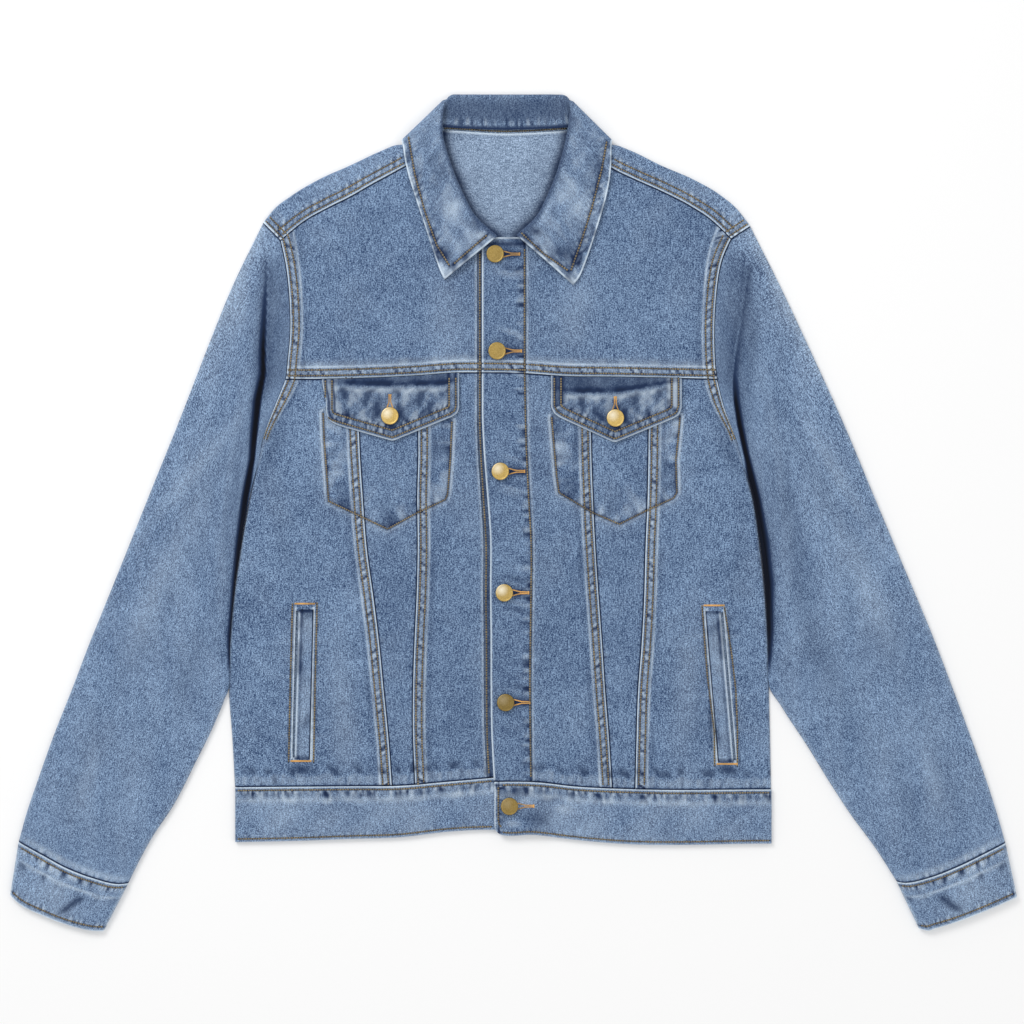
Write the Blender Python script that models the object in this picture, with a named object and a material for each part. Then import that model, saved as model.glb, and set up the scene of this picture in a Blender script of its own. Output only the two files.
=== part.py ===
"""A denim jacket, buttoned and laid flat on its back.

The origin is on the surface it lies on, in the middle of its outline: +X to the left arm as a viewer
standing over it sees it on the right, +Y to the collar, +Z up out of the surface. Tables and driving
sizes are in millimetres. Every cloth piece is a wall between an outer and an inner grid of points.
"""

import math

import bmesh
import bpy
import numpy as np

MM = 0.001
CENTRE = (1.5, 2.26)  # middle of the outline in the tables' own axes

# Cloth and sewing
CLOTH = 1.2  # one layer of denim
DOUBLE = 2.0  # two layers pressed together: bands, collar, flaps
GAP = 0.3  # clearance at each seam and between pieces that lie on each other
HALF = GAP / 2
FELL = 10.0  # width of a felled seam
FELL_RISE = 1.0  # how far its extra layers stand up
LIFT = 2.3  # height of the front layer's underside above the surface

# Body
HEM_Y = -256.0  # nominal seam between body and waistband
YOKE_Y = 134.0  # nominal seam between yoke and lower fronts
UNDERARM_Y = 57.0
BACK_YOKE_Y = 152.0
FULLNESS = 1.1  # how much higher the front layer lies in the middle of each side
SIDE_ROLL = 5.0  # how far in the cloth turns down at the side seams
PLACKET_STEP = DOUBLE + GAP  # rise of the over placket on the under placket
PLACKET_PEEP = 6.0  # how far the under placket shows beyond the over placket
COLLAR_LIFT = 2.3  # how far the neck is held up by the leaf folded under it

# Sleeves and cuffs
CUFF_HEIGHT = 6.8
ARMHOLE_REACH = 0.3  # share of the sleeve over which its cap follows the armhole
ROUNDNESS = 7.0  # exponent of the flattened tube's section
CUFF_WIDTH = 108.0  # pressed flat
CUFF_TAPER = 0.6  # how much lower the cuff is at its end

# Collar
ROLL_DEPTH = 3.8  # between the middles of stand and leaf at the back of the neck
FLAT_DEPTH = DOUBLE + GAP + 0.2  # the same along the fronts, where the leaf is pressed flat
ON_FRONTS = 1.6  # clearance that the collar keeps over the fronts and their felled seams
ON_PLACKETS = 2.6  # how much higher it lies over the plackets

# Buttons
BUTTON_RADIUS = 8.4
BUTTON_NECK_RADIUS = 4.2
BUTTON_RISE = 3.4

DENIM = (0.145, 0.235, 0.400)
BRASS = (0.480, 0.330, 0.110)

# Vertical seams of the lower fronts: a row for each height, x of each seam
SEAM_COLUMNS = ("y", "side_l", "out_l", "in_l", "edge", "placket", "in_r", "out_r", "side_r")
SEAM_ROWS = (
    (134, -212.5, -148.0, -87.0, -26.5, 13.0, 70.5, 131.0, 192.5),
    (108, -223.0, -146.0, -87.5, -26.5, 13.5, 72.0, 129.5, 199.0),
    (84, -232.0, -144.0, -88.0, -26.5, 14.0, 74.0, 128.5, 208.0),
    (58, -238.5, -142.8, -88.0, -25.6, 14.8, 74.6, 128.2, 216.5),
    (20, -247.0, -140.3, -89.0, -23.4, 16.6, 76.0, 127.4, 227.0),
    (-30, -255.8, -136.4, -88.6, -20.6, 19.2, 78.4, 125.4, 234.2),
    (-75, -262.0, -130.4, -89.6, -20.8, 19.0, 81.4, 124.2, 238.6),
    (-119, -265.8, -125.0, -91.6, -20.3, 18.4, 84.6, 121.8, 241.2),
    (-165, -266.6, -120.6, -93.0, -20.2, 18.0, 87.6, 118.4, 242.2),
    (-210, -263.5, -116.2, -93.0, -19.6, 18.4, 91.2, 117.0, 243.2),
    (-256, -261.0, -113.0, -91.0, -17.2, 19.0, 94.0, 116.0, 244.0),
)
# Armhole of the yokes: x at each height
ARMHOLE_L = (
    (84, -232), (108, -223), (134, -212.5), (150, -210.8), (174, -208.4), (202, -209.0), (232, -212.2),
    (260, -217.5),
)
ARMHOLE_R = ((84, 208), (108, 199), (134, 192.5), (162, 190.2), (196, 191.2), (230, 196.2), (260, 206.0))
# Cross seams: y at each x
YOKE_SEAM = (
    (-214, 128), (-180, 128), (-138, 129), (-93, 131), (-49, 134), (-27, 134), (17, 133), (50, 130.6),
    (95, 130), (193, 128),
)
HEM_LEFT = ((-262, -256), (-149, -255), (-105, -254.6), (-62, -251), (-17, -247))
HEM_RIGHT = ((-20, -250.6), (21, -251), (56, -255), (120, -258), (246, -258))
SHOULDER_SEAM_L = (
    (-218, 258), (-196, 276), (-174, 288.5), (-152, 299.5), (-132, 311), (-102, 327), (-84, 336.5),
    (-72, 343),
)
SHOULDER_SEAM_R = (
    (62, 343), (81, 333.5), (93, 326.5), (115, 316), (144, 303), (168, 290.5), (187, 278), (206, 260),
)
NECKLINE_L = ((-72, 343), (-67, 326), (-58, 303), (-48, 284), (-38, 269), (-31, 262))
NECKLINE_R = ((12, 262), (26, 270), (38, 285), (48, 305), (57, 326), (62, 343))
NECK_POINT = {"l": -72.0, "r": 62.0}  # where shoulder seam and neckline meet
SEAM_END = {"l": -217.5, "r": 206.0}  # the shoulder seams' outer ends
FOLD_END = {"l": -234.0, "r": 224.0}  # the shoulder folds' outer ends
FOLD_NECK = {"l": -86.0, "r": 77.0}  # the shoulder folds' inner ends
BACK_CORNER = {"l": -211.0, "r": 192.0}  # the back armholes at the back yoke's seam
SHOULDER_FOLD = (
    (-234, 275), (-225, 286.5), (-208, 300), (-183, 315), (-152, 329), (-122, 343), (-110, 347.6),
    (-102, 348.2), (-94, 349), (-86, 350), (77, 350), (85, 349), (92, 348.2), (99, 347.4), (110, 343.5),
    (140, 329), (172, 315), (196, 301), (212, 287.5), (224, 272),
)
NECK_SEAM = ((-86, 350), (-65, 362), (-7, 360), (52, 361.6), (77, 350))
WAIST_BOTTOM_L = (
    (-260, -307.6), (-203, -306.4), (-149, -304.5), (-105, -303), (-62, -298), (-21, -296), (20, -299),
)
WAIST_BOTTOM_R = ((-20, -297), (-12, -300), (21, -300.5), (48, -304), (92, -308.4), (244, -309))
# The back of the waistband keeps just above the fronts' lower edge: y at each x
WAIST_BOTTOM_BACK = (
    (-260, -306.6), (-203, -305.2), (-149, -303.2), (-105, -301.4), (-62, -296.6), (-21, -294.8), (0, -295.4),
    (21, -298.6), (48, -302.4), (92, -307), (244, -308),
)
BACK_BAND_WIDTH = 51.4

# Sleeves: a row for each station from armhole to cuff
STATION_COLUMNS = ("outer_x", "outer_y", "inner_x", "inner_y", "height")
SLEEVE_L = (
    (-234.5, 275, -238.9, 56.4, 3.6),
    (-263, 216, -244.9, 35, 4.6),
    (-286.8, 157, -250.2, 10, 5.4),
    (-313, 89, -257.2, -32, 5.7),
    (-340, 22, -263.2, -75, 5.7),
    (-364, -38, -266.9, -119, 5.7),
    (-385, -90, -267.9, -162, 5.7),
    (-398, -122, -280, -196, 5.7),
    (-414, -164, -299, -235, 5.7),
    (-431, -207, -318, -272, 5.6),
    (-446, -249, -338, -302, 5.6),
    (-456.5, -280, -351, -325, 5.6),
    (-464, -307, -361, -345, 5.4),
)
SLEEVE_R = (
    (225, 272, 217.2, 56.4, 3.6),
    (252.8, 216, 224.6, 35, 4.6),
    (279.2, 159, 229.8, 10, 5.4),
    (310.8, 89, 235.6, -32, 5.7),
    (338.8, 22, 239.8, -75, 5.7),
    (364, -38, 242.4, -119, 5.7),
    (386, -90, 243.4, -160, 5.7),
    (399, -122, 256, -184, 5.7),
    (415, -164, 279, -219, 5.7),
    (431, -207, 298, -250, 5.6),
    (446, -249, 319, -282, 5.6),
    (456, -280, 342, -313, 5.6),
    (464, -308, 362, -344, 5.4),
)
CUFF_TOP_L = (
    (0, -464, -307), (0.2, -442, -319), (0.42, -419, -331.5), (0.66, -394, -341), (0.9, -370, -346.6),
    (1, -361, -346),
)
CUFF_END_L = (
    (0, -472, -357), (0.1, -464, -364.6), (0.35, -440.6, -376.4), (0.6, -418.6, -384.8), (0.88, -394, -390.6),
    (1, -384, -391),
)
CUFF_TOP_R = (
    (0, 464, -308), (0.2, 443, -318.6), (0.4, 423, -328.5), (0.7, 391, -341), (0.92, 369, -345.4),
    (1, 362, -344.5),
)
CUFF_END_R = (
    (0, 475, -359), (0.2, 454.4, -368), (0.5, 422.6, -380.6), (0.8, 397, -388.6), (0.93, 390, -390.4),
    (1, 383, -389),
)

# Collar: a row for each station from the middle of the back to the front end
COLLAR_COLUMNS = ("leaf_x", "leaf_y", "roll_x", "roll_y", "seam_x", "seam_y")
COLLAR_L = (
    (-5, 338, -5, 395.5, -5, 362),
    (-34, 338, -28, 395.5, -28, 362.6),
    (-64, 339, -47, 395.5, -52, 363.6),
    (-86, 341, -57, 395.0, -66, 364.6),
    (-101.6, 350.6, -62, 389.0, -73, 361),
    (-101.8, 342, -64.5, 372, -82, 352),
    (-98, 322, -64.5, 356, -86, 340),
    (-91, 299, -60, 339, -83, 325),
    (-83, 275, -53.5, 320, -74, 304),
    (-75, 251, -44.5, 300, -62, 285),
    (-68.5, 232, -34, 281, -49, 271),
    (-63.5, 221, -13.5, 261.5, -38, 260),
)
COLLAR_R = (
    (-5, 338, -5, 395.5, -5, 362),
    (24, 338, 19, 395.5, 19, 362.6),
    (54, 339, 39, 395.5, 42, 363.6),
    (76, 341, 50, 394.5, 56, 364.6),
    (91.8, 350.6, 54.5, 388, 64, 361),
    (93.2, 342, 53.5, 371, 72, 352),
    (92.5, 322, 51, 356, 76, 340),
    (88.5, 299, 46.5, 337, 72, 325),
    (81, 273, 40.5, 318, 63, 304),
    (72.5, 247, 32, 298, 52, 285),
    (64.5, 226, 22.5, 280, 40, 271),
    (57.5, 216, 4, 262.5, 28, 260),
)

# Chest flaps: the lower edge's y at each x, and the upper corners
FLAP_L = ((-178.5, 98), (-176, 90), (-170, 86), (-112, 69.5), (-56, 92.5), (-51, 96), (-49.5, 102))
FLAP_R = ((36.5, 102), (39.5, 95.5), (45, 91.5), (96.5, 68), (150, 90), (157, 94), (159.5, 102))

# Hand pockets: the slit's corners, top and bottom
SLIT_TOP_Y = -86.0
SLIT_BOTTOM_Y = -230.0
SLIT_L = ((SLIT_BOTTOM_Y, -207.0, -190.0), (SLIT_TOP_Y, -203.2, -186.4))
SLIT_R = ((SLIT_BOTTOM_Y, 193.6, 211.0), (SLIT_TOP_Y, 181.4, 198.6))
POCKET_MOUTH = 2.6  # how far the mouth stands open

# Button centres
FRONT_BUTTONS = ((-15.8, 245), (-14, 154), (-11, 41), (-7.2, -73), (-6, -176), (-2.4, -273.4))
FLAP_BUTTONS = ((-114.6, 93), (97, 91))

# Where cloth lies lower or higher: x, y, length and width of each soft trough (-) or ridge (+), its turn
# from +Y in degrees, and its depth
BODY_FOLDS = (
    (-225, 60, 60, 16, -22, -0.8),
    (205, 60, 60, 16, 22, -0.9),
    (-160, -175, 120, 26, 4, 0.5),
    (165, -160, 130, 26, -6, 0.5),
    (-60, 190, 90, 34, 12, 0.4),
    (60, 200, 90, 34, -10, 0.4),
    (-215, -20, 110, 14, 8, -0.4),
    (214, -40, 120, 14, -6, -0.4),
)
SLEEVE_FOLDS = (
    (-238, 150, 120, 13, 3, -1.5),
    (-262, 200, 120, 30, -20, 0.7),
    (-330, -60, 150, 24, -24, 0.6),
    (-300, -140, 120, 20, -20, -0.9),
    (-400, -230, 110, 22, -18, -0.7),
    (-262, 20, 110, 13, -8, -1.0),
    (225, 150, 120, 14, -6, -1.5),
    (262, 200, 120, 30, 20, 0.7),
    (262, 0, 200, 22, 12, -1.3),
    (330, -60, 150, 26, 24, 0.6),
    (300, -150, 120, 22, 24, -0.9),
    (402, -230, 110, 22, 18, -0.7),
)


def through(rows, value=1):
    """A smooth curve through rows of (position, values...), read at any position."""
    ordered = sorted(rows)
    at = np.array([row[0] for row in ordered], float)
    values = np.array([row[value] for row in ordered], float)
    slopes = np.gradient(values, at)

    def read(position):
        place = np.clip(np.asarray(position, float), at[0], at[-1])
        k = np.clip(np.searchsorted(at, place, side="right") - 1, 0, len(at) - 2)
        width = at[k + 1] - at[k]
        s = (place - at[k]) / width
        start = (2 * s**3 - 3 * s**2 + 1) * values[k] + (s**3 - 2 * s**2 + s) * width * slopes[k]
        end = (3 * s**2 - 2 * s**3) * values[k + 1] + (s**3 - s**2) * width * slopes[k + 1]
        return start + end

    return read


def column(names, rows, name, position=0):
    """The curve of one named column against the first column, or against the row's number."""
    k = names.index(name)
    if position is None:
        return through([(number, row[k]) for number, row in enumerate(rows)])
    return through([(row[position], row[k]) for row in rows])


def ease(value):
    """Soft step from 0 to 1."""
    v = np.clip(value, 0.0, 1.0)
    return v * v * (3.0 - 2.0 * v)


def mix(a, b, share):
    return a + (b - a) * share


SEAM = {name: column(SEAM_COLUMNS, SEAM_ROWS, name) for name in SEAM_COLUMNS[1:]}
yoke_seam = through(YOKE_SEAM)
hem_left = through(HEM_LEFT)
hem_right = through(HEM_RIGHT)
shoulder_fold = through(SHOULDER_FOLD)
neck_seam = through(NECK_SEAM)
waist_left = through(WAIST_BOTTOM_L)
waist_right = through(WAIST_BOTTOM_R)
waist_back = through(WAIST_BOTTOM_BACK)


def folds(x, y, rows):
    """Height of the soft troughs and ridges at a place."""
    total = np.zeros(np.broadcast(x, y).shape)
    for fold_x, fold_y, length, width, turn, depth in rows:
        angle = math.radians(turn)
        along = (y - fold_y) * math.cos(angle) + (x - fold_x) * -math.sin(angle)
        across = (x - fold_x) * math.cos(angle) + (y - fold_y) * math.sin(angle)
        total = total + depth * np.exp(-((along / (0.5 * length)) ** 2) - (across / (0.5 * width)) ** 2)
    return total


def neck_lift(x, y):
    """How far the layers stand clear of the surface over the collar's folded-under leaf."""
    return COLLAR_LIFT * ease((y - 298.0) / 30.0) * ease((114.0 - abs(x + 5.0)) / 20.0)


def underside(x, y):
    """Height of the front layer's underside: low at sides, hem and shoulders, fuller in between."""
    across = np.clip((x + 8.0) / 245.0, -1.0, 1.0)
    full = (1.0 - across**4) * ease((y + 262.0) / 90.0) * ease((330.0 - y) / 130.0)
    placket = np.exp(-(((x + 4.0) / 30.0) ** 4))
    return LIFT + FULLNESS * full * (1.0 - 0.6 * placket) + folds(x, y, BODY_FOLDS) + neck_lift(x, y)


def wall(name, outer, inner, colour=DENIM, cells=None, ring=False):
    """A closed solid between two grids of points: both skins, and a rim round every free edge."""
    rows, columns, _ = outer.shape
    if cells is None:
        cells = [(i, j) for i in range(rows - 1) for j in range(columns if ring else columns - 1)]
    quads = []
    for i, j in cells:
        k = (j + 1) % columns
        quads.append((i * columns + j, i * columns + k, (i + 1) * columns + k, (i + 1) * columns + j))
    step = rows * columns
    faces = list(quads)
    faces += [tuple(step + corner for corner in reversed(quad)) for quad in quads]
    edges = {}
    for quad in quads:
        for a, b in zip(quad, quad[1:] + quad[:1]):
            edges[(a, b)] = True
    for a, b in edges:
        if (b, a) not in edges:
            faces.append((b, a, step + a, step + b))
    points = (np.concatenate([outer.reshape(-1, 3), inner.reshape(-1, 3)]) - (*CENTRE, 0.0)) * MM
    used = sorted({corner for face in faces for corner in face})
    renumber = {old: new for new, old in enumerate(used)}
    mesh = bpy.data.meshes.new(name)
    mesh.from_pydata(points[used].tolist(), [], [[renumber[c] for c in face] for face in faces])
    shape = bmesh.new()
    shape.from_mesh(mesh)
    bmesh.ops.recalc_face_normals(shape, faces=shape.faces)
    shape.to_mesh(mesh)
    shape.free()
    return place(name, mesh, colour)


def place(name, mesh, colour, metallic=0.0, roughness=0.85):
    """Adds the piece to the scene with its own material."""
    mesh.shade_smooth()
    mesh.set_sharp_from_angle(angle=math.radians(40))
    material = bpy.data.materials.new(name)
    material.use_nodes = True
    shader = material.node_tree.nodes["Principled BSDF"]
    shader.inputs["Base Color"].default_value = (*colour, 1.0)
    shader.inputs["Roughness"].default_value = roughness
    shader.inputs["Metallic"].default_value = metallic
    mesh.materials.append(material)
    piece = bpy.data.objects.new(name, mesh)
    bpy.context.scene.collection.objects.link(piece)
    return piece


# ---------------------------------------------------------------- fronts

SIDE_ROWS = (-256, -230, -194, -158, -122, -86, -46, -4, 28, 44, 57, 70, 84, 96, 108, 121, 134)
LOWER_ROWS = (-256, -230, -194, -158, -122, -86, -46, -4, 28, 57, 84, 108, 134)
YOKE_ROWS = (134, 143.2, 144.4, 160, 180, 202, 220, 236, 248, 260)
YOKE_TOP = 260.0
ARM_BAND = 0.8 * FELL


def placket_lift(x, y):
    """Rise of the right front towards the over placket that carries it."""
    return PLACKET_STEP * ease((SEAM["placket"](y) + 14.0 - x) / 22.0)


def side_edge(side, y):
    """The body's outer edge: side seam below the underarm, armhole above it."""
    armhole = through(ARMHOLE_L if side == "l" else ARMHOLE_R)
    return np.where(y <= YOKE_Y, SEAM["side_" + side](y), armhole(y))


def front_height(y, x, hem):
    """Height on the body of a nominal height: stretched to meet the hem and the yoke's seam."""
    return mix(hem(x), yoke_seam(x), (y - HEM_Y) / (YOKE_Y - HEM_Y))


def lower_front(name, left, right, columns, side=None, right_front=False, slit=None, lift=None):
    """One lower front panel. Each column is its share of the way across, its shift in mm, and its rise."""
    hem = hem_right if right_front else hem_left
    rows = SIDE_ROWS if side else LOWER_ROWS
    nominal = np.array(rows, float)[:, None]
    share = np.array([c[0] for c in columns], float)[None, :]
    shift = np.array([c[1] for c in columns], float)[None, :]
    rise = np.array([c[2] for c in columns], float)[None, :] * np.ones_like(nominal)
    x_left = left(nominal)
    x_right = right(nominal)
    x = mix(x_left, x_right, share) + shift
    if slit:
        slit_columns = [k for k, c in enumerate(columns) if "slit" in c]
        for value, k in enumerate(slit_columns, start=1):
            x[:, k] = through(slit, value)(nominal[:, 0])
    y = front_height(nominal, x, hem)
    y = y + np.where(nominal == YOKE_Y, -GAP / 2, 0.0) + np.where(nominal == HEM_Y, GAP / 2, 0.0)
    low = underside(x, y)
    if lift is not None:
        low = low + lift(x, y)
    high = low + CLOTH + rise
    outer = np.stack([x, y, high], axis=-1)
    inner = np.stack([x, y, low], axis=-1)
    if side:
        roll_side(outer, inner, columns, nominal[:, 0], side)
    cells = None
    if slit:
        first, last = slit_columns
        bottom = rows.index(SLIT_BOTTOM_Y)
        top = rows.index(SLIT_TOP_Y)
        cut = {(i, j) for i in range(bottom, top) for j in range(first, last)}
        every = {(i, j) for i in range(len(rows) - 1) for j in range(len(columns) - 1)}
        cells = sorted(every - cut)
    return wall(name, outer, inner, cells=cells)


def roll_side(outer, inner, columns, nominal, side):
    """Turns the outer columns of a side panel down to the surface below the underarm."""
    sign = 1.0 if side == "l" else -1.0
    for k, spec in enumerate(columns):
        flat = abs(spec[1])
        at_side = spec[0] == (0 if side == "l" else 1)
        if not at_side or flat > SIDE_ROLL:
            continue
        turn = 0.5 * math.pi * (1.0 - flat / SIDE_ROLL)
        amount = ease((UNDERARM_Y + 3.0 - nominal) / 16.0)
        edge = outer[:, k, 0] - sign * flat
        high = outer[:, k, 2]
        low = inner[:, k, 2]
        rolled_in = SIDE_ROLL * (1.0 - math.sin(turn))
        tucked_in = CLOTH + (SIDE_ROLL - CLOTH) * (1.0 - math.sin(turn))
        plain_high = low + CLOTH
        outer[:, k, 0] = edge + sign * mix(flat, rolled_in, amount)
        inner[:, k, 0] = edge + sign * mix(flat, tucked_in, amount)
        outer[:, k, 2] = mix(high, plain_high * math.cos(turn), amount)
        inner[:, k, 2] = mix(low, low * math.cos(turn), amount)


SIDE_ROLL_COLUMNS = (0.0, 0.8, 1.8, 3.2, 5.0)


def side_columns(side):
    """Columns of a side panel: the turn at the side, the armhole's band, the slit, and the felled seam."""
    outer = [(0, HALF + d if d == 0 else d, 0.0) for d in SIDE_ROLL_COLUMNS]
    outer += [(0, ARM_BAND, 0.0), (0.28, 0, 0.0)]
    slit = [(0.5, 0, 0.0, "slit"), (0.6, 0, 0.0, "slit")]
    rest = [(0.80, 0, 0.0), (1, -FELL - 1.0, 0.0), (1, -FELL, FELL_RISE), (1, -HALF, FELL_RISE)]
    columns = outer + slit + rest
    if side == "l":
        return columns
    mirrored = [(1 - c[0], -c[1], *c[2:]) for c in reversed(columns)]
    return mirrored


def plain_columns(count):
    """Evenly spaced columns between two seams."""
    inside = [(k / count, 0, 0.0) for k in range(1, count)]
    return [(0, HALF, 0.0)] + inside + [(1, -HALF, 0.0)]


def under_seam(y):
    return SEAM["edge"](y) - PLACKET_PEEP


def make_lower_fronts():
    def left_side(y):
        return side_edge("l", y)

    def right_side(y):
        return side_edge("r", y)

    lower_front("front_side_l", left_side, SEAM["out_l"], side_columns("l"), side="l", slit=SLIT_L)
    lower_front("front_middle_l", SEAM["out_l"], SEAM["in_l"], plain_columns(3))
    centre_l = [(0, HALF, FELL_RISE), (0, FELL, FELL_RISE), (0, FELL + 1.0, 0.0)]
    centre_l += [(0.45, 0, 0.0), (0.7, 0, 0.0), (1, -HALF, 0.0)]
    lower_front("front_centre_l", SEAM["in_l"], under_seam, centre_l)
    centre_r = [(0, HALF, 0.0), (0, 5.0, 0.0), (0, 10.0, 0.0), (0, 15.0, 0.0), (0.55, 0, 0.0)]
    centre_r += [(1, -FELL - 1.0, 0.0), (1, -FELL, FELL_RISE), (1, -HALF, FELL_RISE)]
    lower_front("front_centre_r", SEAM["placket"], SEAM["in_r"], centre_r, right_front=True, lift=placket_lift)
    lower_front("front_middle_r", SEAM["in_r"], SEAM["out_r"], plain_columns(3), right_front=True)
    lower_front(
        "front_side_r", SEAM["out_r"], right_side, side_columns("r"), side="r", right_front=True, slit=SLIT_R
    )


PLACKET_ROWS = LOWER_ROWS + (160, 190, 216, 236, 252)
PLACKET_TOP = 261.0


def placket_height(nominal, x, hem):
    """Heights of the placket's rows, which match the panels' rows beside it."""
    below = front_height(nominal, x, hem)
    above = yoke_seam(x) + (nominal - YOKE_Y) * (PLACKET_TOP - yoke_seam(x)) / (252.0 - YOKE_Y)
    return np.where(nominal <= YOKE_Y, below, above)


def placket_strip(name, left, right, shares, hem, lift):
    nominal = np.array(PLACKET_ROWS, float)[:, None]
    share = np.array(shares, float)[None, :]
    x = mix(left(nominal), right(nominal), share)
    y = placket_height(nominal, x, hem)
    y = y + np.where(nominal == HEM_Y, HALF, 0.0)
    low = underside(x, y) + lift(x, y)
    outer = np.stack([x, y, low + DOUBLE], axis=-1)
    inner = np.stack([x, y, low], axis=-1)
    return wall(name, outer, inner)


def make_plackets():
    def under_left(y):
        return under_seam(y) + HALF

    def under_right(y):
        return SEAM["placket"](y) - 9.0

    def over_right(y):
        return SEAM["placket"](y) - HALF

    def flat(x, y):
        return np.zeros_like(x)

    placket_strip("placket_under", under_left, under_right, (0, 0.3, 0.65, 1), hem_left, flat)
    over_shares = (0, 0.26, 0.52, 0.78, 0.9, 1)
    placket_strip("placket_over", SEAM["edge"], over_right, over_shares, hem_right, placket_lift)


def front_yoke(name, side):
    """A front yoke, from the armhole to the placket and from the cross seam to shoulder and neckline."""
    left_front = side == "l"
    seam = through(SHOULDER_SEAM_L if left_front else SHOULDER_SEAM_R)
    neck = through(NECKLINE_L if left_front else NECKLINE_R)
    neck_point = NECK_POINT[side]
    sign = 1.0 if left_front else -1.0
    # from the armhole inwards: distance from the armhole, or from the placket's seam
    shares = [(0, HALF), (0, ARM_BAND), (0, ARM_BAND + 1.0), (0.2, 0), (0.36, 0), (0.52, 0), (0.65, 0)]
    fixed = [neck_point, neck_point + sign * 6, neck_point + sign * 15, neck_point + sign * 26]
    nominal = np.array(YOKE_ROWS, float)
    edge = side_edge(side, nominal)
    inside = under_seam(nominal) if left_front else SEAM["placket"](nominal)
    columns = [mix(edge, inside, share) + sign * shift for share, shift in shares]
    columns += [np.full_like(nominal, x) for x in fixed] + [inside - sign * HALF]
    x = np.stack(columns, axis=1)
    is_neck = (x - neck_point) * sign >= 0.0
    top = np.where(is_neck, neck(x), seam(x)) - HALF
    v = ((nominal - YOKE_Y) / (YOKE_TOP - YOKE_Y))[:, None]
    bottom = yoke_seam(x) + HALF
    y = mix(bottom, top, v)
    for k, row in enumerate(YOKE_ROWS):
        if 0 < row - YOKE_Y < FELL + 1.0:
            y[k] = bottom[k] + (row - YOKE_Y)
    rise = np.zeros_like(x)
    rise[:2] = FELL_RISE
    rise[:, :2] = FELL_RISE
    low = underside(x, y)
    if not left_front:
        low = low + placket_lift(x, y)
    outer = np.stack([x, y, low + CLOTH + rise], axis=-1)
    inner = np.stack([x, y, low], axis=-1)
    return wall(name, outer, inner)


def armhole_points(side):
    """Where the sleeve's cap meets the front: points from the shoulder's fold down to the underarm."""
    left_front = side == "l"
    sign = 1.0 if left_front else -1.0
    fold_x = FOLD_END[side]
    seam_x = SEAM_END[side]
    seam = through(SHOULDER_SEAM_L if left_front else SHOULDER_SEAM_R)
    hem = hem_left if left_front else hem_right
    fold_y = float(shoulder_fold(fold_x))
    seam_y = float(seam(seam_x))
    points = [(mix(fold_x, seam_x, k), mix(fold_y, seam_y, k)) for k in (0.0, 0.15, 0.4, 0.7)]
    for nominal in reversed(YOKE_ROWS):
        x = float(side_edge(side, nominal))
        bottom = float(yoke_seam(x)) + HALF
        y = mix(bottom, float(seam(x)) - HALF, (nominal - YOKE_Y) / (YOKE_TOP - YOKE_Y))
        if 0 < nominal - YOKE_Y < FELL + 1.0:
            y = bottom + nominal - YOKE_Y
        points.append((x, y))
    for nominal in reversed([row for row in SIDE_ROWS if UNDERARM_Y <= row < YOKE_Y]):
        x = float(side_edge(side, nominal))
        points.append((x, float(front_height(nominal, x, hem))))
    return [(x - sign * HALF, y) for x, y in points]


# ---------------------------------------------------------------- back

BACK_ROWS = (-256, -230, -194, -158, -122, -86, -46, -4, 28, 44, 57, 80, 105, 130, 152)
BACK_ARMHOLE_ROWS = (57.0, 80.0, 105.0, 130.0, 152.0)
ARMHOLE_TOP_Y = 275.0  # the armhole's top, where the shoulder folds
BAND_BACK_X = (-215, -160, -105, -62, -21, 21, 62, 105, 160, 205)  # shared by the back body and its band
BACK_INSET = CLOTH + GAP + 0.8
YOKE_FOLD_RADIUS = 2.25
SHOULDER_COLUMNS_L = (-234, -225, -210, -192, -172, -150, -126, -104, -86)
NECK_COLUMNS = (-62, -34, -5, 24, 52)
SHOULDER_COLUMNS_R = (77, 94, 116, 140, 162, 183, 201, 215, 224)


def back_edge(side, y):
    """Edge of the back layer: inside the turned side below the underarm, a plain armhole above it."""
    sign = 1.0 if side == "l" else -1.0
    below = SEAM["side_" + side](y) + sign * BACK_INSET
    start = float(side_edge(side, UNDERARM_Y))
    middle = BACK_CORNER[side]
    places = (start, mix(start, middle, 0.62), middle, FOLD_END[side])
    above = np.interp(y, (UNDERARM_Y, 105.0, BACK_YOKE_Y, ARMHOLE_TOP_Y), places)
    return np.where(y < UNDERARM_Y, below, above + sign * HALF)


def back_height(side, nominal):
    """Heights of the back's rows at its edge, level with the front's rows up to the cross seam."""
    hem = hem_left if side == "l" else hem_right
    front = front_height(nominal, SEAM["side_" + side](np.minimum(nominal, YOKE_Y)), hem)
    return np.where(nominal <= YOKE_Y, front, nominal)


def make_back_body():
    nominal = np.array(BACK_ROWS, float)[:, None]
    left = float(back_edge("l", HEM_Y))
    right = float(back_edge("r", HEM_Y))
    share = (np.array((left, *BAND_BACK_X, right)) - left)[None, :] / (right - left)
    x = mix(back_edge("l", nominal), back_edge("r", nominal), share)
    y = mix(back_height("l", nominal), back_height("r", nominal), share)
    y[0] = waist_back(x[0]) + BACK_BAND_WIDTH + HALF
    y[-1] = BACK_YOKE_Y - HALF
    low = np.stack([x, y, 0.0 * x], axis=-1)
    high = np.stack([x, y, CLOTH + 0.0 * x], axis=-1)
    return wall("back_body", low, high)


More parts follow.
